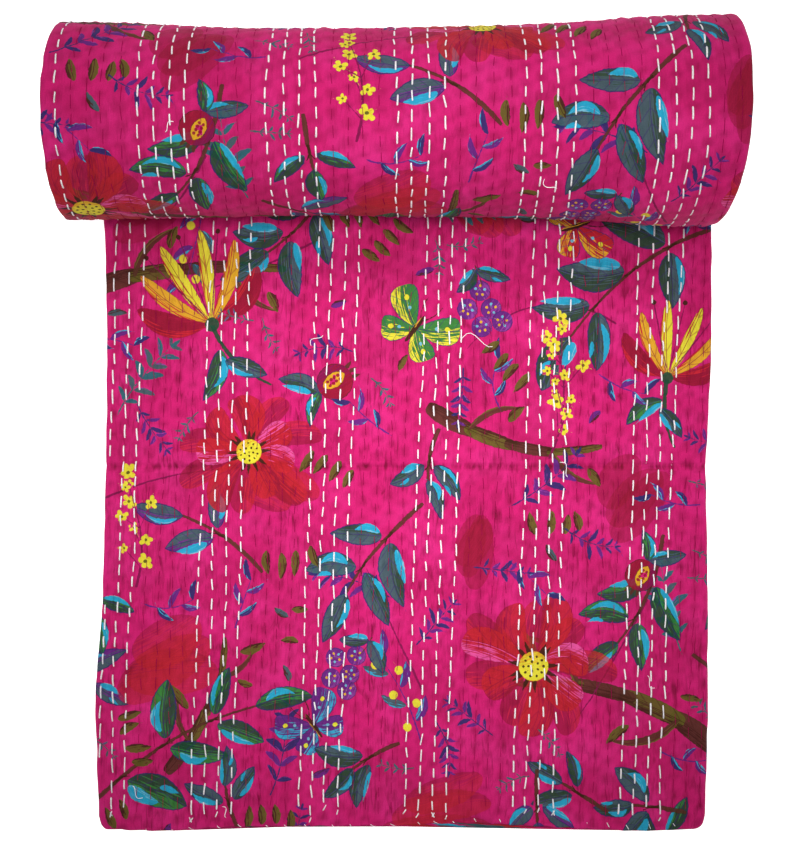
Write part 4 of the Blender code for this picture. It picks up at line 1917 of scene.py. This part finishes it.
@dataclass(frozen=True)
class PaleFloor:
    """A plain white studio floor.

    Attributes:
        brightness: How much light it returns.
        unevenness: The share of that by which it varies.
        glow: The light it gives off, so that it is as white as the picture's edge.
    """

    brightness: float = 0.93
    unevenness: float = 0.015
    glow: float = 0.80

    def material(self) -> bpy.types.Material:
        """Builds the material.

        Returns:
            The material, faintly uneven so that it isn't a flat fill.
        """
        board = ShaderBoard("pale_floor")
        cloud = board.noise(board.wire("ShaderNodeTexCoord", out="Object"), 3.0, dimensions="3D")
        pale, paler = (self.brightness * (1.0 - self.unevenness),) * 3, (self.brightness,) * 3
        return board.finished({
            "Base Color": board.blend(cloud, (*paler, 1.0), (*pale, 1.0)), "Roughness": 0.9,
            "Emission Color": paint("#FFFFFF"), "Emission Strength": self.glow,
        })


# ---- pieces


def put_in_scene(name: str, data: bpy.types.ID) -> bpy.types.Object:
    """Makes an object at the origin and adds it to the scene.

    Args:
        name: Its name.
        data: Its mesh, curve, light or camera.

    Returns:
        The object.
    """
    piece = bpy.data.objects.new(name, data)
    bpy.context.scene.collection.objects.link(piece)
    return piece


def evaluated_mesh(guide: bpy.types.Object) -> bpy.types.Mesh:
    """Turns what an object's curve or modifiers make into a plain mesh.

    Args:
        guide: The object.

    Returns:
        The mesh.
    """
    graph = bpy.context.evaluated_depsgraph_get()
    made = guide.evaluated_get(graph)
    return bpy.data.meshes.new_from_object(made, preserve_all_data_layers=True, depsgraph=graph)


@dataclass
class QuiltCloth:
    """The cloth itself: its folded and rolled skin, with the print on the faces that show.

    Attributes:
        shape: Its form.
        finish: Its material.
        repeat: The width and the length of the print's repeat.
        seed: The seed of the print.
        roll_shift: Where the roll's face starts in the repeat, across and along.
        flap_reach: From where to where along the cloth a stroke may start and reach the loose end.
        roll_reach: The same for the roll.
    """

    shape: FoldedShape = field(default_factory=FoldedShape)
    finish: PrintedCotton = field(default_factory=PrintedCotton)
    repeat: tuple[float, float] = (0.60, 0.62)
    seed: int = 41
    roll_shift: tuple[float, float] = (0.21, 0.52)
    flap_reach: tuple[float, float] = (-0.08, 0.70)
    roll_reach: tuple[float, float] = (0.92, 1.68)

    def print_strokes(self) -> list[Stroke]:
        """Repeats the print over both faces.

        Returns:
            The strokes that can reach them.
        """
        unit = PrintDesign(self.seed).unit(self.repeat)
        wide, long = self.repeat
        shifts = [(column * wide, row * long) for row in (-1, 0, 1) for column in (-1, 0, 1)]
        aside, up = self.roll_shift[0], ROLL_PRINT_FROM + self.roll_shift[1]
        flap = [stroke.placed(x, y, mirrored=False) for x, y in shifts for stroke in unit]
        roll = [stroke.placed(x + aside, y + up, mirrored=True) for x, y in shifts for stroke in unit]
        faces = ((flap, *self.flap_reach), (roll, *self.roll_reach))
        return [stroke for strokes, low, high in faces for stroke in strokes if low < stroke.y < high]

    def bake_place(self, cloth: Array, hidden: Array) -> Array:
        """Where each face corner lies in the map that the finish is baked to.

        Args:
            cloth: The corners' cloth places.
            hidden: For each corner, whether its face doesn't show.

        Returns:
            Places between 0 and 1. The faces that show lie side by side, the hidden ones small above them.
        """
        span, girdle = 1.30, 5.0
        flap_from, roll_from = (-0.32, -0.01), (-0.98, ROLL_PRINT_FROM - 0.04)
        hidden_start, hidden_size = (0.01, 0.56), (0.96, 0.40)
        x, y = cloth.T
        flap_u, flap_v = (x - flap_from[0]) / span, (y - flap_from[1]) / span
        roll_u, roll_v = (x - roll_from[0]) / span, (y - roll_from[1]) / span
        hidden_u = hidden_start[0] + hidden_size[0] * (x - HIDDEN_PRINT_FROM) / girdle
        hidden_v = hidden_start[1] + hidden_size[1] * y / self.shape.length
        on_roll = y > ROLL_SPLIT
        u = np.where(hidden, hidden_u, np.where(on_roll, roll_u, flap_u))
        v = np.where(hidden, hidden_v, np.where(on_roll, roll_v, flap_v))
        return np.stack([u, v], axis=1)

    def build(self) -> bpy.types.Object:
        """Builds the mesh, prints it and gives it its finish.

        Returns:
            The piece.
        """
        skin = Skin(self.shape)
        skin.grow()
        mesh, cloth, starts = skin.mesh("quilt_cloth")
        printed = PrintedFace(mesh, cloth, starts)
        hidden = (printed.middle[:, 0] > HIDDEN_SPLIT)[printed.face_of]
        for name, places in (("OFBake", self.bake_place(cloth, hidden)), ("cloth", cloth)):
            layer = mesh.uv_layers.new(name=name)
            layer.data.foreach_set("uv", places.astype(np.float32).ravel())
        strokes = self.print_strokes()
        deepest = printed.lay(strokes)
        mesh.validate()
        mesh.materials.append(self.finish.material())
        log.info("print: %d strokes, up to %d on one face", len(strokes), deepest)
        log.info("cloth: %.5f m3", abs(skin.volume()))
        return put_in_scene("quilt_cloth", mesh)


class StitchTree:
    """The Geometry Nodes tree that lays one arched, tapering stitch on every point it is given.

    The points carry "aim", the way the stitch runs, "up", the way out of the cloth, and "reach", its length.
    """

    SOCKETS = (
        ("Points", "NodeSocketGeometry", None), ("Length", "NodeSocketFloat", 0.0110),
        ("Thickness", "NodeSocketFloat", 0.0018), ("Rise", "NodeSocketFloat", 0.22),
        ("Bury", "NodeSocketFloat", 0.62), ("Flatness", "NodeSocketFloat", 0.62),
        ("Bend steps", "NodeSocketInt", 7), ("Sides", "NodeSocketInt", 6),
        ("Thread", "NodeSocketMaterial", None),
    )

    def __init__(self) -> None:
        """Builds the tree."""
        self.tree = bpy.data.node_groups.new("running_stitch", "GeometryNodeTree")
        self.board = Board(self.tree)
        for name, kind, value in self.SOCKETS:
            socket = self.tree.interface.new_socket(name, in_out="INPUT", socket_type=kind)
            if value is not None:
                socket.default_value = value
        self.tree.interface.new_socket("Stitches", in_out="OUTPUT", socket_type="NodeSocketGeometry")
        self.given = self.board.add("NodeGroupInput")
        laid = self.board.wire("GeometryNodeInstanceOnPoints", inputs={
            "Points": self.get("Points"), "Instance": self.tube(self.thread_line()), **self.pose(),
        })
        plain = self.board.wire("GeometryNodeRealizeInstances", inputs={"Geometry": laid})
        dress = {"Geometry": plain, "Material": self.get("Thread")}
        dressed = self.board.wire("GeometryNodeSetMaterial", inputs=dress)
        self.board.add("NodeGroupOutput", inputs={"Stitches": dressed})

    def get(self, name: str) -> Wire:
        """What the tree is given for a named input."""
        return Wire(self.board, self.given.outputs[name])

    def read(self, name: str, kind: str = "FLOAT") -> Wire:
        """What a named attribute holds."""
        settings, inputs = {"data_type": kind}, {"Name": name}
        return self.board.wire("GeometryNodeInputNamedAttribute", settings, inputs, "Attribute")

    def keep(self, geometry: Wire, name: str, value: Wire, kind: str = "FLOAT") -> Wire:
        """Stores a value on a geometry's points.

        Args:
            geometry: The geometry.
            name: The attribute's name.
            value: The value.
            kind: The attribute's type.

        Returns:
            The geometry with the attribute.
        """
        settings = {"data_type": kind, "domain": "POINT"}
        inputs = {"Geometry": geometry, "Name": name, "Value": value}
        return self.board.wire("GeometryNodeStoreNamedAttribute", settings, inputs)

    def thread_line(self) -> Wire:
        """The stitch's middle line.

        Returns:
            A curve that dives under the cloth at both ends and rises flat between them.
        """
        half, thickness = self.get("Length") * 0.5, self.get("Thickness")
        low = self.get("Bury") * thickness * -1.0
        high = (self.get("Rise") * 4.0 + self.get("Bury")) * thickness / 3.0
        join = self.board.joined
        return self.board.wire("GeometryNodeCurvePrimitiveBezierSegment", {"mode": "POSITION"}, {
            "Resolution": self.get("Bend steps"), "Start": join(half * -1.0, 0.0, low),
            "Start Handle": join(half * -0.78, 0.0, high), "End Handle": join(half * 0.78, 0.0, high),
            "End": join(half, 0.0, low),
        })

    def tube(self, line: Wire) -> Wire:
        """Thickens the middle line.

        Args:
            line: The line.

        Returns:
            A smooth thread, thinner at both ends, whose points hold how far along and round it they lie.
        """
        board = self.board
        factor = board.wire("GeometryNodeSplineParameter", out="Factor")
        taper = (0.5 - (abs(factor * 2.0 - 1.0) ** 3.0) * 0.27) * self.get("Thickness")
        circle = board.wire(
            "GeometryNodeCurvePrimitiveCircle", inputs={"Resolution": self.get("Sides"), "Radius": 1.0}
        )
        around = board.wire("GeometryNodeSplineParameter", out="Factor")
        tube = board.wire("GeometryNodeCurveToMesh", inputs={
            "Curve": self.keep(line, "lengthwise", factor), "Scale": taper,
            "Profile Curve": self.keep(circle, "around", around), "Fill Caps": True,
        })
        ply = board.joined(self.read("lengthwise"), self.read("around"))
        tube = self.keep(tube, "ply", ply, "FLOAT_VECTOR")
        return board.wire("GeometryNodeSetShadeSmooth", inputs={"Geometry": tube, "Shade Smooth": True})

    def pose(self) -> dict[str, Wire]:
        """How each stitch is turned and scaled.

        Returns:
            The rotation and the scale, which fill the sockets of those names.
        """
        aim, up = (self.read(name, "FLOAT_VECTOR") for name in ("aim", "up"))
        turn = self.board.wire("FunctionNodeAxesToRotation", {"primary_axis": "X", "secondary_axis": "Z"},
                               {"Primary Axis": aim, "Secondary Axis": up})
        weight, length = self.read("weight"), self.read("reach") / self.get("Length")
        return {"Rotation": turn, "Scale": self.board.joined(length, weight, weight * self.get("Flatness"))}

    def run(self, name: str, points: "StitchPoints", sizes: dict[str, Any]) -> bpy.types.Object:
        """Lays the stitches and turns them into one plain mesh.

        Args:
            name: The piece's name.
            points: Where the stitches lie.
            sizes: Values for the tree's named inputs.

        Returns:
            The piece, with no modifier left on it.
        """
        guide = put_in_scene(name, points.mesh(name + "_points"))
        modifier = guide.modifiers.new("stitches", "NODES")
        modifier.node_group = self.tree
        identifiers = {item.name: item.identifier for item in self.tree.interface.items_tree}
        for label, value in sizes.items():
            modifier[identifiers[label]] = value
        mesh = evaluated_mesh(guide)
        mesh.name = name
        guide.modifiers.clear()
        guide.data = mesh
        return guide


@dataclass
class StitchPoints:
    """Where stitches lie: for each its middle, the way it runs, the way out of the cloth, and its weight."""

    middle: list[Array] = field(default_factory=list)
    aim: list[Array] = field(default_factory=list)
    up: list[Array] = field(default_factory=list)
    weight: list[Array] = field(default_factory=list)

    def add(self, start: Array, end: Array, up: Array, weight: Array | float = 1.0) -> None:
        """Adds stitches.

        Args:
            start: Where each starts.
            end: Where each ends.
            up: The way out of the cloth there.
            weight: How thick each is, as a share of the thread.
        """
        self.middle.append((start + end) / 2)
        self.aim.append(end - start)
        self.up.append(np.broadcast_to(up, start.shape))
        self.weight.append(np.broadcast_to(weight, (len(start),)))

    def mesh(self, name: str) -> bpy.types.Mesh:
        """Makes a mesh of the points.

        Args:
            name: Its name.

        Returns:
            Loose points with their attributes.
        """
        columns = (self.middle, self.aim, self.up, self.weight)
        middle, aim, up, weight = (np.concatenate(rows) for rows in columns)
        mesh = point_mesh(name, middle)
        store(mesh, "aim", "FLOAT_VECTOR", "POINT", aim)
        store(mesh, "up", "FLOAT_VECTOR", "POINT", up)
        store(mesh, "reach", "FLOAT", "POINT", np.linalg.norm(aim, axis=1))
        store(mesh, "weight", "FLOAT", "POINT", weight)
        return mesh


@dataclass
class Sewing:
    """All the sewing: rows of running stitch in white and in pink, and slanting stitches on the hem.

    Attributes:
        shape: The cloth's form.
        filled: The share of its period that a stitch takes.
        thickness: The white thread's.
        pink_share: How thick the pink thread shows beside it, drawn deep into the cloth.
        hem_share: How thick the hem's thread is beside it.
        lift: How far off the cloth a stitch's ends lie.
        tail_radius: The radius of the cut ends of thread.
        hem_long_from: The x from which the hem's stitches are long.
        seed: The seed of what is uneven.
        white: The white thread.
        pink: The pink thread, coloured darker than the ground: partly its own colour, partly painted shade of
            the dents it draws.
    """

    shape: FoldedShape
    filled: float = 0.70
    thickness: float = 0.0031
    pink_share: float = 0.39
    hem_share: float = 0.6
    lift: float = 0.00035
    tail_radius: float = 0.00034
    hem_long_from: float = 0.06
    seed: int = 77
    white: CottonThread = CottonThread("white_thread", "#FFFDFE", "#EADFE4")
    # The pink thread is darker than the ground: partly its own colour, partly painted shade of the dents it
    # draws in the cloth.
    pink: CottonThread = CottonThread("pink_thread", "#A4104F", "#800C3C", sheen=0.0)

    def normals(self, panel: Panel, x: Array, v: Array) -> Array:
        """The directions straight out of a visible face, smoothed over a few millimetres.

        Args:
            panel: Which face.
            x: The places across the quilt.
            v: Their distances along that face.

        Returns:
            Rows of x, y and z, each of length 1.
        """
        near = 0.003
        across = self.shape.surface(panel, x + near, v) - self.shape.surface(panel, x - near, v)
        along = self.shape.surface(panel, x, v + near) - self.shape.surface(panel, x, v - near)
        normal = np.cross(across, along) if panel is Panel.FLAP else -np.cross(across, along)
        return normal / np.linalg.norm(normal, axis=1, keepdims=True)

    def row(self, points: StitchPoints, panel: Panel, number: int, ends: tuple[float, float],
            draw: np.random.Generator) -> None:
        """Sews one row, with stitches of uneven length, slant and weight.

        Args:
            points: What the stitches are added to.
            panel: Which face.
            number: The number of the row.
            ends: Where on the face it starts and stops.
            draw: The source of what is uneven.
        """
        shape, (start, stop) = self.shape, ends
        rows, period = shape.rows(panel), shape.stitch_period
        clear = 0.001
        count = int((stop - start) / period) + 1
        periods = period * (1.0 + draw.uniform(-0.16, 0.16, count))
        begin = start + np.concatenate(([0.0], np.cumsum(periods)[:-1]))
        end = begin + periods * self.filled * (1.0 + draw.uniform(-0.18, 0.16, count))
        x = rows.laid(rows.first + rows.pitch * number, (begin + end) / 2) + draw.normal(0.0, 0.00022, count)
        slant = draw.normal(0.0, 0.00034, count)
        wound = shape.flap_length + shape.rolled_length(begin / shape.print_radius)
        left, right = shape.edges(begin if panel is Panel.FLAP else wound)
        kept = (x > left + shape.left_bulge + clear) & (x < right - shape.outer_bulge - clear) & (end < stop)
        begin, end, x, slant = begin[kept], end[kept], x[kept], slant[kept]
        if not len(x):
            return
        first = shape.surface(panel, x - slant, begin, self.lift)
        last = shape.surface(panel, x + slant, end, self.lift)
        points.add(first, last, self.normals(panel, x, (begin + end) / 2), draw.uniform(0.85, 1.12, len(x)))

    def knots(self, points: StitchPoints, number: int, start: float, draw: np.random.Generator) -> None:
        """Adds what some rows start with near the hem: a short stitch aslant, or two that cross.

        Args:
            points: What the stitches are added to.
            number: The number of the row.
            start: Where on the face it starts.
            draw: The source of what is uneven.
        """
        any_below, two_below = 0.62, 0.22
        kind = draw.random()
        if kind > any_below:
            return
        count = 2 if kind < two_below else 1
        rows = self.shape.flap_rows
        v = np.full(count, start - 0.0042)
        x = rows.laid(rows.first + rows.pitch * number, v) + draw.uniform(-0.0012, 0.0012, count)
        left, right = self.shape.edges(start)
        if x.min() < left + 0.006 or x.max() > right - 0.008:
            return
        lean = draw.uniform(0.0006, 0.0016, count) * np.array([1.0, -1.0])[:count]
        reach = draw.uniform(0.0018, 0.0030, count)
        low = 0.0003
        first = self.shape.surface(Panel.FLAP, x - lean, v - reach, low)
        last = self.shape.surface(Panel.FLAP, x + lean, v + reach, low)
        points.add(first, last, self.normals(Panel.FLAP, x, v), 0.8)

    def rows_of(self, white: bool) -> StitchPoints:
        """Sews all the rows in one thread.

        Args:
            white: Whether it is the white thread.

        Returns:
            The stitches.
        """
        shape = self.shape
        draw = np.random.default_rng(self.seed + int(white))
        points = StitchPoints()
        roll_start, roll_stop = shape.print_radius * 0.36, shape.print_radius * (math.tau - 0.30)
        flap_start, flap_stop = 0.010, shape.flap_length - 0.045
        for panel in Panel:
            rows = shape.rows(panel)
            for number in range(rows.lowest, rows.highest):
                if rows.is_white(number) is not white:
                    continue
                if panel is Panel.ROLL:
                    start = roll_start + draw.uniform(0.0, shape.stitch_period)
                    self.row(points, panel, number, (start, roll_stop), draw)
                    continue
                start = flap_start + draw.uniform(0.0, 0.012)
                self.row(points, panel, number, (start, flap_stop), draw)
                if white:
                    self.knots(points, number, start, draw)
        return points

    def hem_points(self) -> StitchPoints:
        """Sews the slanting stitches over the hem's edge.

        Returns:
            The stitches.
        """
        draw = np.random.default_rng(self.seed + 5)
        points = StitchPoints()
        left, right = (float(edge) for edge in self.shape.edges(0.0))
        x = left + 0.012 + np.cumsum(draw.uniform(0.015, 0.026, 60))
        x = x[x < right - 0.014]
        long = x > self.hem_long_from
        lean = 0.0022 * draw.uniform(0.2, 1.3, len(x))
        reach = np.where(long, draw.uniform(0.0034, 0.0066, len(x)), draw.uniform(0.0012, 0.0026, len(x)))
        same = np.ones(len(x))
        first = self.shape.flat_place(x - lean, same * (self.shape.stack + 0.0003), reach)
        last = self.shape.flat_place(x + lean, same * (self.shape.stack - 0.0012), same * -0.0004)
        out_of_hem = np.array((0.0, -0.45, 0.9))
        points.add(first, last, out_of_hem, 0.85)
        return points

    def build(self) -> list[bpy.types.Object]:
        """Builds the pieces of sewing.

        Returns:
            The pieces.
        """
        tree = StitchTree()
        white, pink = self.white.material(), self.pink.material()
        plans = (
            ("white_stitches", self.rows_of(white=True), white, 1.0),
            ("pink_stitches", self.rows_of(white=False), pink, self.pink_share),
            ("hem_stitches", self.hem_points(), white, self.hem_share),
        )
        pieces = [
            tree.run(name, points, {"Thickness": self.thickness * share, "Thread": thread})
            for name, points, thread, share in plans
        ]
        return [*pieces, self.loose_ends(white)]

    def loose_ends(self, thread: bpy.types.Material) -> bpy.types.Object:
        """Lays a few cut ends of white thread on the cloth.

        Args:
            thread: Their material.

        Returns:
            The piece.
        """
        # Each has its face, where it starts on that, and how far it runs across and along.
        starts = (
            (Panel.FLAP, 0.0560, 0.452, 0.030, 0.003), (Panel.FLAP, -0.2380, 0.030, -0.012, 0.008),
            (Panel.FLAP, -0.1655, 0.020, 0.006, -0.009), (Panel.FLAP, 0.1490, 0.340, 0.010, -0.011),
            (Panel.ROLL, -0.1830, 0.280, -0.009, 0.006), (Panel.ROLL, 0.1200, 0.330, 0.008, 0.012),
            (Panel.FLAP, -0.0820, 0.448, 0.008, 0.012), (Panel.FLAP, 0.2390, 0.130, -0.010, 0.009),
        )
        curve = bpy.data.curves.new("loose_ends", "CURVE")
        curve.dimensions = "3D"
        curve.bevel_depth = self.tail_radius
        curve.bevel_resolution = 1
        curve.use_fill_caps = True
        curve.materials.append(thread)
        steps = np.linspace(0.0, 1.0, 9)
        sway = 0.25 * np.sin(steps * 5.0)
        lift = 0.0005 + 0.0022 * np.sin(steps * math.pi) * steps - 0.0009 * (1.0 - steps) ** 3
        for panel, x, v, across, along in starts:
            xs, vs = x + across * steps - along * sway, v + along * steps + across * sway
            path = np.column_stack([self.shape.surface(panel, xs, vs, lift), np.ones(len(steps))])
            spline = curve.splines.new("POLY")
            spline.points.add(len(path) - 1)
            spline.points.foreach_set("co", path.astype(np.float32).ravel())
        guide = put_in_scene("loose_ends_curve", curve)
        mesh = evaluated_mesh(guide)
        bpy.data.objects.remove(guide)
        mesh.shade_smooth()
        return put_in_scene("loose_ends", mesh)


# ---- studio


@dataclass(frozen=True)
class Lamp:
    """A round light that fades towards its rim.

    Attributes:
        name: Its name.
        place: Where it hangs.
        target: The point that it faces.
        power: Its power, in watts.
        spread: The angle of its cone, in degrees.
        softness: Its radius, which softens its shadows.
    """

    name: str
    place: Place
    target: Place
    power: float
    spread: float
    softness: float = 0.30

    def hang(self) -> None:
        """Adds the light."""
        lamp = bpy.data.lights.new(self.name, "SPOT")
        lamp.energy = self.power
        lamp.spot_size = math.radians(self.spread)
        lamp.spot_blend = 1.0
        lamp.shadow_soft_size = self.softness
        lit = put_in_scene(self.name, lamp)
        lit.location = self.place
        lit.rotation_euler = (Vector(self.target) - Vector(self.place)).to_track_quat("-Z", "Y").to_euler()


@dataclass
class Studio:
    """The pale floor, the soft lights and the camera straight above.

    Attributes:
        camera_place: Where the camera stands.
        lens: Its focal length, on a sensor as wide as the picture's longer side.
        sensor: The width of that sensor.
        floor_size: The length of the floor's sides.
        surround: How brightly the white surround lights the quilt. The camera sees it pure white.
        floor: The floor's finish.
        lamps: The lights.
    """

    camera_place: Place = (-0.0022, 0.0104, 1.2255)
    lens: float = 54.9
    sensor: float = 36.0
    floor_size: float = 6.0
    surround: float = 0.22
    floor: PaleFloor = field(default_factory=PaleFloor)
    lamps: tuple[Lamp, ...] = (
        Lamp("key_light", (0.0, 0.0, 1.7), (0.0, -0.01, 0.0), power=139.0, spread=37.0),
        Lamp("back_light", (0.0, 0.95, 1.45), (0.0, 0.22, 0.10), power=40.0, spread=50.0),
    )

    def add_floor(self) -> None:
        """Adds the floor."""
        half = self.floor_size / 2
        mesh = bpy.data.meshes.new("floor")
        corners = [(-half, -half, 0.0), (half, -half, 0.0), (half, half, 0.0), (-half, half, 0.0)]
        mesh.from_pydata(corners, [], [(0, 1, 2, 3)])
        mesh.materials.append(self.floor.material())
        put_in_scene("floor", mesh)

    def add_camera(self) -> None:
        """Adds the camera, looking straight down with +Y at the top of the picture."""
        camera = bpy.data.cameras.new("camera")
        camera.lens = self.lens
        camera.sensor_width = self.sensor
        camera.sensor_fit = "AUTO"
        stand = put_in_scene("camera", camera)
        stand.location = self.camera_place
        bpy.context.scene.camera = stand

    def add_world(self) -> None:
        """Adds the surround."""
        world = bpy.data.worlds.new("surround")
        world.use_nodes = True
        board = Board(world.node_tree)
        seen = board.wire("ShaderNodeLightPath", out="Is Camera Ray")
        strength = seen * (1.0 - self.surround) + self.surround
        board.plug(world.node_tree.nodes["Background"], {"Color": paint("#FFFFFF"), "Strength": strength})
        bpy.context.scene.world = world

    def build(self) -> None:
        """Sets up the whole studio."""
        self.add_floor()
        self.add_camera()
        self.add_world()
        for lamp in self.lamps:
            lamp.hang()
        bpy.context.scene.view_settings.view_transform = "Standard"
        bpy.context.scene.view_settings.look = "None"


def main() -> None:
    """Builds the studio and the quilt, says what each piece is and reports its size."""
    logging.basicConfig(level=logging.INFO, format="%(name)s: %(message)s")
    Studio().build()
    quilt = QuiltCloth()
    cloth = quilt.build()
    sewing = Sewing(quilt.shape).build()
    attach(cloth, BODY)
    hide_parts(QUILT_NODE)
    for piece in sewing:
        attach(piece, BODY)
    for piece in (cloth, *sewing):
        log.info("%s: %d faces", piece.name, len(piece.data.polygons))


if __name__ == "__main__":
    main()
